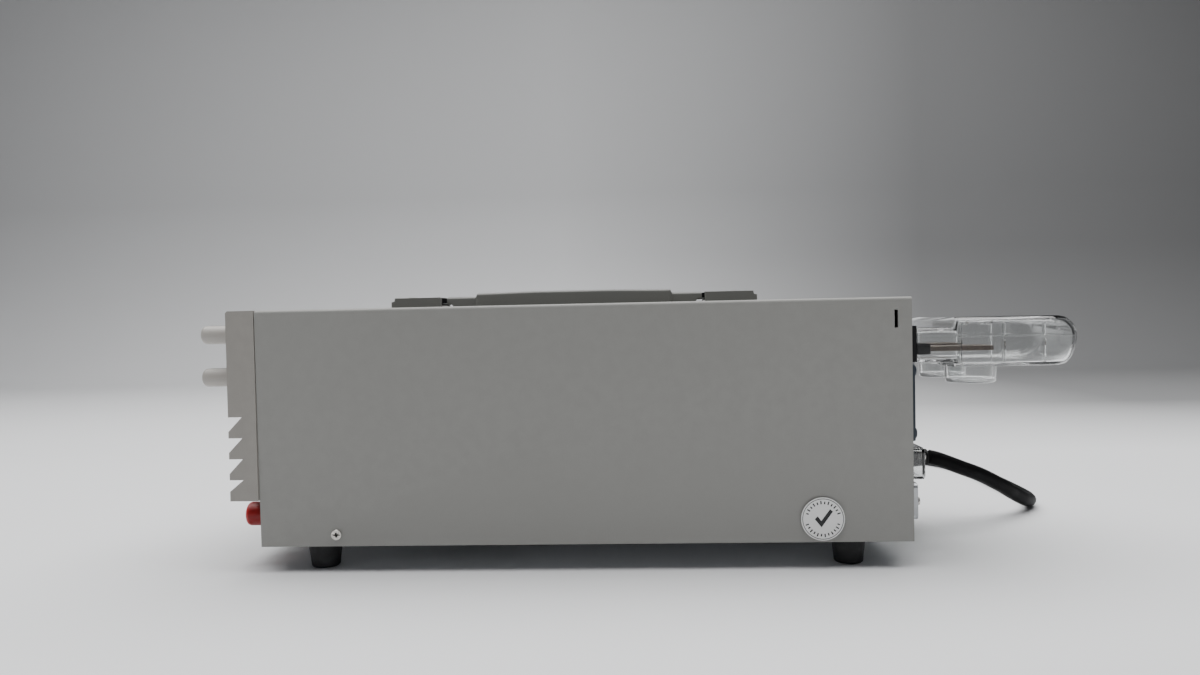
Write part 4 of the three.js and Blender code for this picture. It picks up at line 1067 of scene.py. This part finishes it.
def make_display():
    """One row of four unlit digits behind the smoked window, with round status lamps."""
    cad("display_window", "smoked_window", 0.4, 3)
    cad("display_module", "dark_plastic", 0.3, 2)
    low, high = ends_of("display_module")
    face = (low.y - PAPER, low.y + 0.02)
    bm = new()
    digit_height, digit_width = 11.0, 6.2
    groups = [(low.x + 6 + 11 * i, (low.z + high.z) / 2 + 1.5) for i in range(4)]
    for u, v in groups:
        for placing in SEGMENTS.values():
            outline = segment_outline((u, v), digit_height, digit_width, placing)
            prism(bm, "y", outline, face)
        lathe(bm, "y", (u + 5.2, v - digit_height / 2), [(0.6, face[0]), (0.6, face[1])], 16)
    piece("display_digits", bm, "digit_segment", slot="red_plastic")
    lamps = new()
    for i in range(4):
        lathe(lamps, "y", (high.x - 5, low.z + 4 + 4.6 * i), [(1.1, face[0] - 0.2), (1.1, face[1])], 24)
    piece("display_lamps", lamps, "digit_segment", slot="red_plastic", bevel=0.2, segments=2)


def make_keys():
    """Key caps with a plain printed shape on each, and a lamp above the output key."""
    for key in ("set_key", "limit_key", "lock_key", "output_key"):
        material = "white_plastic" if key == "output_key" else "key_plastic"
        cad(key, material, 0.6, 3)
        low, high = ends_of(key)
        u, v = mid(low, high, "xz")
        mark = new()
        face = (low.y - PAPER / 2, low.y + 0.2)
        if key == "set_key":
            box(mark, around(u, 1.6), face, around(v, 0.25))
            box(mark, around(u, 0.25), face, around(v, 1.6))
        elif key == "limit_key":
            box(mark, around(u, 1.8), face, around(v + 1.1, 0.22))
            prism(mark, "y", [(u - 1.3, v - 1.2), (u + 1.3, v - 1.2), (u, v + 0.6)], face)
        elif key == "lock_key":
            box(mark, around(u, 1.3), face, around(v - 0.5, 0.9))
            box(mark, around(u, 0.8), face, around(v + 1.1, 0.2))
            box(mark, around(u - 0.8, 0.2), face, (v + 0.3, v + 1.3))
            box(mark, around(u + 0.8, 0.2), face, (v + 0.3, v + 1.3))
        else:
            box(mark, around(u, 3.0), face, around(v, 0.35))
        piece(f"{key}_mark", mark, "silk_grey", key, "dark_plastic")
    low, high = ends_of("output_key")
    lamp = new()
    place = ((low.x + high.x) / 2, high.z + 3.6)
    lathe(lamp, "y", place, [(1.5, BEZEL_FACE - 0.5), (1.5, BEZEL_FACE + 0.5)], 32)
    piece("output_lamp", lamp, "green_plastic", bevel=0.4)


def make_rocker():
    """The power rocker with a bar printed on one half and a ring on the other."""
    cad("power_switch_body", "dark_plastic", 0.35, 2)
    cad("power_rocker", "dark_plastic", 0.5, 3)
    normal_turn = Matrix.Rotation(math.radians(-9), 3, "X")
    low, high = ends_of("power_rocker")
    centre = Vector(((low.x + high.x) / 2, 1.0, (low.z + high.z) / 2))
    tilt_up, tilt_down = math.atan2(1.6, 7.2), -math.atan2(1.6, 7.2)
    marks = new()
    for tilt, shape in ((tilt_up, "bar"), (tilt_down, "ring")):
        side = 1 if shape == "bar" else -1
        middle_of_face = Vector((0, -3.2, side * 3.6))
        face_turn = Matrix.Rotation(tilt, 3, "X")

        def place(u, v, lift):
            local = middle_of_face + face_turn @ Vector((u, -lift, v))
            return centre + normal_turn @ local

        if shape == "bar":
            bar = rectangle((-0.3, 0.3), (-1.6, 1.6))
            skin(marks, [[marks.verts.new(place(u, v, lift)) for u, v in bar] for lift in (-0.3, 0.05)])
        else:
            loops = []
            for r, lift in ((1.6, -0.3), (1.6, 0.05), (1.1, 0.05), (1.1, -0.3)):
                loops.append([marks.verts.new(place(u, v, lift)) for u, v in circle((0, 0), r, 36)])
            skin(marks, [*loops, loops[0]], ends=False)
    piece("power_rocker_marks", marks, "white_plastic", "power_rocker", "white_plastic")


def make_front():
    for quantity in ("voltage", "current"):
        make_knob(quantity)
        cad(f"{quantity}_encoder", "nickel_plate", 0.2, 1)
        cad(f"{quantity}_shaft", "nickel_plate", 0.2, 1)
    posts = {"positive": "red_plastic", "ground": "green_plastic", "negative": "white_plastic"}
    for name, material in posts.items():
        make_post(name, material, material)
    cad("front_panel_board", "circuit_board", 0.15, 1)
    make_display()
    make_keys()
    make_rocker()


make_front()

# --------------------------------------------------------------------------- clear cover

SHELL_LOW, SHELL_HIGH = ends_of("output_cover_upper")
SHELL_SIDES = (SHELL_LOW.x, SHELL_HIGH.x)
SHELL_MIDDLE = sum(SHELL_SIDES) / 2
SHELL_START = SHELL_LOW.y
SHELL_END = SHELL_HIGH.y
SEAM_Z = SHELL_LOW.z
SHELL_TOP = SHELL_HIGH.z
SHELL_BOTTOM = FLOOR_Z + 87
NECK = (FLOOR_Z + 89.3, FLOOR_Z + 107.8)
STEP_Y = 364.0
NOSE_RADIUS = 12.0
PLAN_CORNER = 18.0
SHELL_WALL = 2.0
DOME_RADIUS = 13.25
DOME_BOTTOM = FLOOR_Z + 78
DOME_Y = 377.2
DOMES = (("far", -4.0), ("near", 40.0))
PAD_STARTS = (366.3, 378.8)
PAD_LENGTH = 6
PAD_SPAN = (46, 53)
RIB_DEPTHS = (367.4, 389.6, 410.2)
OUTPUT_PROUD = 7.0  # of the terminal base's plate, from the top cover's rear edge


def arc_inset(depth, end, radius):
    """How far an outline has come in at a depth, where it rounds off towards its end."""
    into = depth - (end - radius)
    if into <= 0:
        return 0.0
    return radius - math.sqrt(max(0.0, radius**2 - min(into, radius) ** 2))


def shell_stations(inset):
    """Depths of the cover's rings: the neck, the step, the body and a dense nose."""
    end = SHELL_END - inset
    corner = PLAN_CORNER - inset
    step = STEP_Y + inset
    body = [step, step + 0.8, step + 2, (step + end - corner) / 2, end - corner]
    turns = (15, 30, 42, 52, 61, 69, 76, 82, 86.5, 90)
    nose = [end - corner + corner * math.sin(math.radians(a)) for a in turns]
    return [SHELL_START, (SHELL_START + step) / 2, step - 0.5, *body, *nose]


def half_ring(depth, inset, upper):
    """Half of the cover's section at a depth, from the seam over the roof or floor to the seam."""
    end = SHELL_END - inset
    side = arc_inset(depth, end, PLAN_CORNER - inset) + inset
    drop = arc_inset(depth, end, NOSE_RADIUS - inset)
    left, right = SHELL_SIDES[0] + side, SHELL_SIDES[1] - side
    grown = eased((depth - (STEP_Y + inset) + 0.5) / 1.3)
    low = NECK[0] + (SHELL_BOTTOM - NECK[0]) * grown + inset + drop
    high = NECK[1] + (SHELL_TOP - NECK[1]) * grown - inset - drop
    level = high if upper else low
    seam = SEAM_Z if upper else SEAM_Z - 0.3
    level = max(level, seam + 0.4) if upper else level
    into = max(0.0, depth - (end - PLAN_CORNER)) / PLAN_CORNER
    corner = min(4.4 - inset * 1.1 + 8 * into, abs(level - seam) - 0.1)
    lift = corner if upper else -corner
    made = [(right, seam)]
    for place, first in ((right - corner, 0), (left + corner, 90)):
        for step in range(8):
            turn = math.radians(first + 90 * step / 7)
            made.append((place + corner * math.cos(turn), level - lift + lift * math.sin(turn)))
    return [*made, (left, seam)]


def cover_half(name, upper, body, nodes):
    """A thin clear shell: outer and inner skins joined along the seam and the open front."""
    bm = new()
    skins = []
    for inset in (0.0, SHELL_WALL):
        rows = [(depth, half_ring(depth, inset, upper)) for depth in shell_stations(inset)]
        skins.append([[bm.verts.new((u, depth, v)) for u, v in ring] for depth, ring in rows])
    outer, inner = skins
    for rows in skins:
        skin(bm, rows, wrap=False, ends=False)
        bm.faces.new(rows[-1])
    count = len(outer)
    for i in range(count - 1):
        for k in (0, -1):
            bm.faces.new((outer[i][k], outer[i + 1][k], inner[i + 1][k], inner[i][k]))
    bm.faces.new((outer[-1][0], outer[-1][-1], inner[-1][-1], inner[-1][0]))
    for i in range(len(outer[0]) - 1):
        bm.faces.new((outer[0][i], outer[0][i + 1], inner[0][i + 1], inner[0][i]))
    return piece(name, bm, "clear_plastic", body, "clear_plastic", nodes)


def clear_part(name, bm, body="root", bevel=0.3):
    return piece(name, bm, "clear_plastic", body, "clear_plastic", bevel=bevel, segments=2)


def make_cover():
    """The output terminals' clear cover with its domes, ribs, latches and top pads."""
    cover_half("clear_cover_upper", True, "output_cover_upper", ["output_cover_upper"])
    cover_half("clear_cover_lower", False, "root", ["output_cover_lower"])
    inner = (SHELL_SIDES[0] + SHELL_WALL, SHELL_SIDES[1] - SHELL_WALL)
    for label, x in DOMES:
        bm = new()
        top = SHELL_BOTTOM - 0.02
        hollow = DOME_RADIUS - SHELL_WALL
        line = [(NEAR_AXIS, DOME_BOTTOM), (DOME_RADIUS - 0.5, DOME_BOTTOM), (DOME_RADIUS, top)]
        line += [(hollow, top), (hollow - 0.4, DOME_BOTTOM + SHELL_WALL)]
        line.append((NEAR_AXIS, DOME_BOTTOM + SHELL_WALL))
        lathe(bm, "z", (x, DOME_Y), rounded(line, [0, 2.2, 0, 0, 1.2, 0], 6), 64)
        piece(f"clear_dome_{label}", bm, "clear_plastic")
    for i, depth in enumerate(RIB_DEPTHS):
        for side, x in enumerate(inner):
            inward = 1 if x < SHELL_MIDDLE else -1
            span = sorted((x + inward * 0.05, x + inward * 2.2))
            low_rib = new()
            box(low_rib, span, around(depth, 0.7), (SHELL_BOTTOM + SHELL_WALL + 0.1, SEAM_Z - 1.2))
            clear_part(f"clear_cover_lower_rib_{i}_{side}", low_rib)
            top_rib = new()
            box(top_rib, span, around(depth, 0.7), (SEAM_Z + 0.6, SHELL_TOP - SHELL_WALL - 1.2))
            clear_part(f"clear_cover_upper_rib_{i}_{side}", top_rib, "output_cover_upper")
    for i, depth in enumerate(RIB_DEPTHS[:2]):
        for side, x in enumerate(SHELL_SIDES):
            out = 1 if x > SHELL_MIDDLE else -1
            catch = new()
            span = sorted((x + out * 0.02, x + out * 0.9))
            box(catch, span, around(depth, 2.2), (SEAM_Z + 0.1, SEAM_Z + 1.7))
            clear_part(f"clear_cover_catch_{i}_{side}", catch, "output_cover_upper", 0.35)
    for side, x in enumerate(SHELL_SIDES):
        out = 1 if x > SHELL_MIDDLE else -1
        lip = new()
        span = sorted((x + out * 0.02, x + out * 0.3))
        box(lip, span, (STEP_Y + 1, SHELL_END - PLAN_CORNER), (SEAM_Z + 0.1, SEAM_Z + 0.7))
        clear_part(f"clear_cover_lip_{side}", lip, "output_cover_upper", 0.12)
    for i, start in enumerate(PAD_STARTS):
        pad = new()
        end = start + PAD_LENGTH
        arch = [(start, 0), (start + 1.2, -2.2), (end - 1.2, -2.2), (end, 0)]
        outline = [(u, SHELL_TOP - SHELL_WALL - 0.03 + v) for u, v in rounded(arch, [0, 1.0, 1.0, 0], 5)]
        prism(pad, "x", outline, PAD_SPAN)
        clear_part(f"clear_cover_pad_{i}", pad, "output_cover_upper", 0.3)


def make_output_terminals():
    cad("output_terminal_base", "dark_plastic", 0.4, 2)
    cad("negative_bus_bar", "tinned_copper", 0.3, 2)
    cad("positive_bus_bar", "tinned_copper", 0.3, 2)
    low, high = ends_of("output_terminal_base")
    heights = (FLOOR_Z + 92.6, FLOOR_Z + 106.4)
    face = COVER_END + OUTPUT_PROUD
    for i, place in enumerate((x, z) for x in (low.x + 3.4, high.x - 3.4) for z in heights):
        cross_screw(f"output_base_screw_{i}", "y", place, face, 1, 1.9, countersunk=False)


make_output_terminals()
make_cover()

# ----------------------------------------------------------------------------- rear end


def make_fan():
    cad("fan_frame", "dark_plastic", 0.3, 2)
    cad("fan_rotor", "dark_plastic", 0.25, 2)
    cad("fan_guard", "guard_plastic", 0.45, 3)
    low, high = ends_of("fan_guard")
    centre = mid(low, high, "xz")
    face = high.y - 0.02
    for i, u in enumerate((-16, 16)):
        for k, v in enumerate((-16, 16)):
            place = (centre[0] + u, centre[1] + v)
            name = f"fan_screw_{i}{k}"
            cross_screw(name, "y", place, face, 1, 3.1, countersunk=False, material="guard_plastic")


def make_inlet():
    """The clear box over the AC terminals, its screws, and the saddle that clamps the lead."""
    cad("ac_terminal_block", "dark_plastic", 0.3, 2)
    low, high = ends_of("ac_terminal_cover")
    wall = 1.6
    bm = new()
    outer = rectangle((low.x, high.x), (low.z, high.z), 3, 6)
    inner = rectangle((low.x + wall, high.x - wall), (low.z + wall, high.z - wall), 1.8, 6)
    rows = [(low.y, outer), (high.y - 0.8, outer)]
    shrunk = rectangle((low.x + 0.8, high.x - 0.8), (low.z + 0.8, high.z - 0.8), 2.4, 6)
    outer_rings = [[bm.verts.new((u, y, v)) for u, v in ring] for y, ring in (*rows, (high.y, shrunk))]
    inner_rings = [[bm.verts.new((u, y, v)) for u, v in inner] for y in (low.y, high.y - wall)]
    skin(bm, outer_rings, ends=False)
    skin(bm, inner_rings, ends=False)
    skin(bm, [outer_rings[0], inner_rings[0]], ends=False)
    hole = 6.2
    centre = (CORD_EXIT[0], CORD_EXIT[2])

    def hole_ring(y):
        ring = []
        for u, v in inner:
            turn = math.atan2(v - centre[1], u - centre[0])
            rim = (centre[0] + hole * math.cos(turn), centre[1] + hole * math.sin(turn))
            ring.append(put(bm, "y", *rim, y))
        return ring

    far, near = hole_ring(high.y), hole_ring(high.y - wall)
    skin(bm, [outer_rings[-1], far, near, inner_rings[-1]], ends=False)
    piece("clear_inlet_cover", bm, "clear_plastic", replaces=["ac_terminal_cover"])
    saddle = new()
    arch = []
    for radius, start, step in ((7.4, 180, -15), (6.3, 0, 15)):
        for i in range(13):
            turn = math.radians(start + step * i)
            arch.append((centre[0] + radius * math.cos(turn), centre[1] + radius * math.sin(turn)))
    prism(saddle, "y", arch, (351.5, 357.8))
    piece("lead_saddle", saddle, "nickel_plate", bevel=0.2, segments=1)
    for i, x in enumerate((low.x + 5, high.x - 5)):
        place = (x, high.z - 5.5)
        cross_screw(f"inlet_cover_screw_{i}", "y", place, high.y - 0.02, 1, 2.6, countersunk=False)
    wires = new()
    block_low, block_high = ends_of("ac_terminal_block")
    for i in range(3):
        x = block_low.x + (i + 0.5) * (block_high.x - block_low.x) / 3
        start = (centre[0] + 2 * (i - 1), 350.5, centre[1])
        bend = (x * 0.6 + centre[0] * 0.4, 348.6, centre[1] - 2)
        line = [start, bend, (x, 344, centre[1] - 7), (x, 341.5, centre[1] - 10)]
        tube(wires, smooth_line(line, 6), 1.3, 12)
    piece("inlet_wires", wires, "sleeve_rubber", slot="cord_rubber")


def make_strain_relief():
    """A tapered bush with grip rings, from its flange inside the cover to the bare lead."""
    low, high = ends_of("cord_strain_relief")
    start, end = ends_of("ac_terminal_cover")[1].y, high.y
    rings = 5
    flange = start - 1.9  # its face inside the clear box
    profile = [(NEAR_AXIS, low.y), (5.6, low.y), (5.6, flange - 2), (6.8, flange - 2), (6.8, flange)]
    profile += [(6.05, flange), (6.05, start + 1)]
    for i in range(rings):
        along = start + 1.4 + (end - start - 2.4) * i / rings
        width = (end - start - 2.4) / rings
        radius = 6.05 - 0.95 * (along - start) / (end - start)
        groove = radius - 0.55
        profile += [(radius, along), (radius, along + width * 0.55)]
        profile += [(groove, along + width * 0.62), (groove, along + width * 0.95)]
    profile += [(5.05, end - 0.9), (4.9, end - 0.1), (4.55, end), (NEAR_AXIS, end)]
    bm = new()
    lathe(bm, "y", (CORD_EXIT[0], CORD_EXIT[2]), profile, 40)
    piece(
        "lead_strain_relief",
        bm,
        "sleeve_rubber",
        slot="cord_rubber",
        replaces=["cord_strain_relief"],
        bevel=0.1,
        segments=1,
    )


def make_connector():
    """The signal connector's shell, two rows of pins and its jack screws."""
    cad("control_connector", "zinc_plate", 0.35, 2)
    low, high = ends_of("control_connector")
    middle = mid(low, high, "xz")
    pins = new()
    for row, count in ((1.5, 8), (-1.5, 7)):
        for i in range(count):
            x = middle[0] + 2.3 * (i - (count - 1) / 2)
            pin = [(0.5, high.y - 5.2), (0.5, high.y - 1.6), (0.2, high.y - 1.1)]
            lathe(pins, "y", (x, middle[1] + row), pin, 12)
    piece("connector_pins", pins, "tinned_copper", slot="nickel_plate")
    for i, x in enumerate((low.x + 2.6, high.x - 2.6)):
        bm = new()
        prism(bm, "y", circle((x, middle[1]), 2.2, 6), (high.y - 0.1, high.y + 1.2))
        piece(f"connector_post_{i}", bm, "nickel_plate", bevel=0.3)


def make_rear():
    make_fan()
    make_inlet()
    make_strain_relief()
    make_connector()
    face = ends_of("rear_panel")[1].y
    earth = new()
    centre = (-56, FLOOR_Z + 16)
    stud = [(4.2, face), (4.2, face + 0.8), (2.0, face + 0.8), (2.0, face + 6), (1.7, face + 6.4)]
    lathe(earth, "y", centre, stud, 32)
    piece("earth_stud", earth, "nickel_plate", bevel=0.1, segments=1)
    nut = new()
    prism(nut, "y", circle(centre, 3.7, 6), (face + 0.85, face + 3.6))
    piece("earth_nut", nut, "nickel_plate", bevel=0.3)


make_rear()

# ----------------------------------------------------------------------- electronics bay

BOARD_TOP = ends_of("main_board")[1].z


def make_boards():
    """The main board with a populated strip of small parts."""
    cad("main_board", "circuit_board", 0.15, 1)
    chips, cans = new(), new()
    for i in range(7):
        y = 62 + 34 * i
        box(chips, around(-27 + 9 * (i % 2), 5), around(y, 8), (BOARD_TOP + 0.05, BOARD_TOP + 3.2))
        box(chips, around(30, 3), around(y + 12, 4.5), (BOARD_TOP + 0.05, BOARD_TOP + 2.4))
    for i in range(5):
        y = 60 + 40 * i
        foot, top = BOARD_TOP + 0.05, BOARD_TOP + 17
        line = [(NEAR_AXIS, foot), (5, foot), (5, top), (NEAR_AXIS, top)]
        lathe(cans, "z", (32, y), rounded(line, [0, 0.5, 1, 0], 4), 32)
    piece("board_chips", chips, "dark_plastic", bevel=0.3, segments=1)
    piece("board_capacitors", cans, "capacitor_sleeve")


def make_transformer():
    """The main transformer's core with its taped winding."""
    cad("main_transformer", "ferrite_core", 0.5, 2)
    low, high = ends_of("main_transformer")
    centre = mid(low, high, "xy")
    wrap = new()
    outline = rectangle(around(centre[0], 15.6), around(centre[1], 26.5), 5, 6)
    prism(wrap, "z", outline, (low.z + 7, low.z + 35))
    piece("transformer_winding", wrap, "taped_winding", slot="ferrite_core", bevel=0.5)


def make_bulk_capacitor():
    """A sleeved can with a crimp groove near its foot and a shallow dish on top."""
    low, high = ends_of("bulk_capacitor")
    line = [(NEAR_AXIS, low.z), (15, low.z), (15, low.z + 3.5), (14.2, low.z + 4.3), (15, low.z + 5.2)]
    line += [(15, high.z), (12, high.z), (11.6, high.z - 0.6), (NEAR_AXIS, high.z - 0.6)]
    profile = rounded(line, [0, 0.8, 0.5, 0.6, 0.5, 1.2, 0.3, 0.2, 0], 4)
    can = new()
    lathe(can, "z", mid(low, high, "xy"), profile, 56)
    sleeve = "capacitor_sleeve"
    piece("bulk_capacitor_can", can, sleeve, slot=sleeve, replaces=["bulk_capacitor"])


def make_choke():
    """A toroid core with its wire wound most of the way around."""
    centre = Vector(mid(*ends_of("filter_choke"), "xyz"))
    ring, wire_ring, wire = 12, 4.7, 0.75
    wire_turns, per_turn = 34, 14
    core = new()
    loops = []
    for i in range(48):
        a = 2 * math.pi * i / 48
        out = Vector((math.cos(a), math.sin(a), 0))
        section = rectangle(around(ring, 3.6), around(0, 3.6), 1, 3)
        loops.append([core.verts.new(centre + out * u + Vector((0, 0, v))) for u, v in section])
    skin(core, [*loops, loops[0]], ends=False)
    piece("choke_core", core, "ferrite_core", replaces=["filter_choke"])
    path = []
    for i in range(wire_turns * per_turn + 1):
        a = 2 * math.pi * 0.94 * i / (wire_turns * per_turn)
        b = 2 * math.pi * i / per_turn
        out = Vector((math.cos(a), math.sin(a), 0))
        reach = ring + wire_ring * math.cos(b)
        path.append(centre + out * reach + Vector((0, 0, wire_ring * math.sin(b))))
    coil = new()
    tube(coil, path, wire, 8)
    piece("choke_winding", coil, "copper_wire")


make_boards()
cad("primary_heatsink", "bare_aluminium", 0.25, 1)
cad("secondary_heatsink", "bare_aluminium", 0.25, 1)
make_transformer()
make_bulk_capacitor()
make_choke()

# ---------------------------------------------------------------------------- the stage


def make_stage():
    """A pale floor that sweeps up into a plain backdrop well behind the unit."""
    wall_x, sweep, near_x, half, top = -1.7, 0.3, 4.5, 5.0, 2.6
    profile = [(near_x, 0.0), (0.6, 0.0), (wall_x + sweep, 0.0)]
    for i in range(1, 13):
        turn = math.radians(90 * i / 12)
        profile.append((wall_x + sweep - sweep * math.sin(turn), sweep - sweep * math.cos(turn)))
    profile.append((wall_x, top))
    bm = new()
    rows = [[bm.verts.new((x, y, z)) for x, z in profile] for y in (-half, half)]
    skin(bm, rows, wrap=False, ends=False)
    bmesh.ops.recalc_face_normals(bm, faces=bm.faces)
    mesh = bpy.data.meshes.new("stage")
    bm.to_mesh(mesh)
    bm.free()
    for polygon in mesh.polygons:
        polygon.use_smooth = True
    mesh.materials.append(plain_floor())
    obj = bpy.data.objects.new("stage", mesh)
    bpy.context.scene.collection.objects.link(obj)


make_stage()
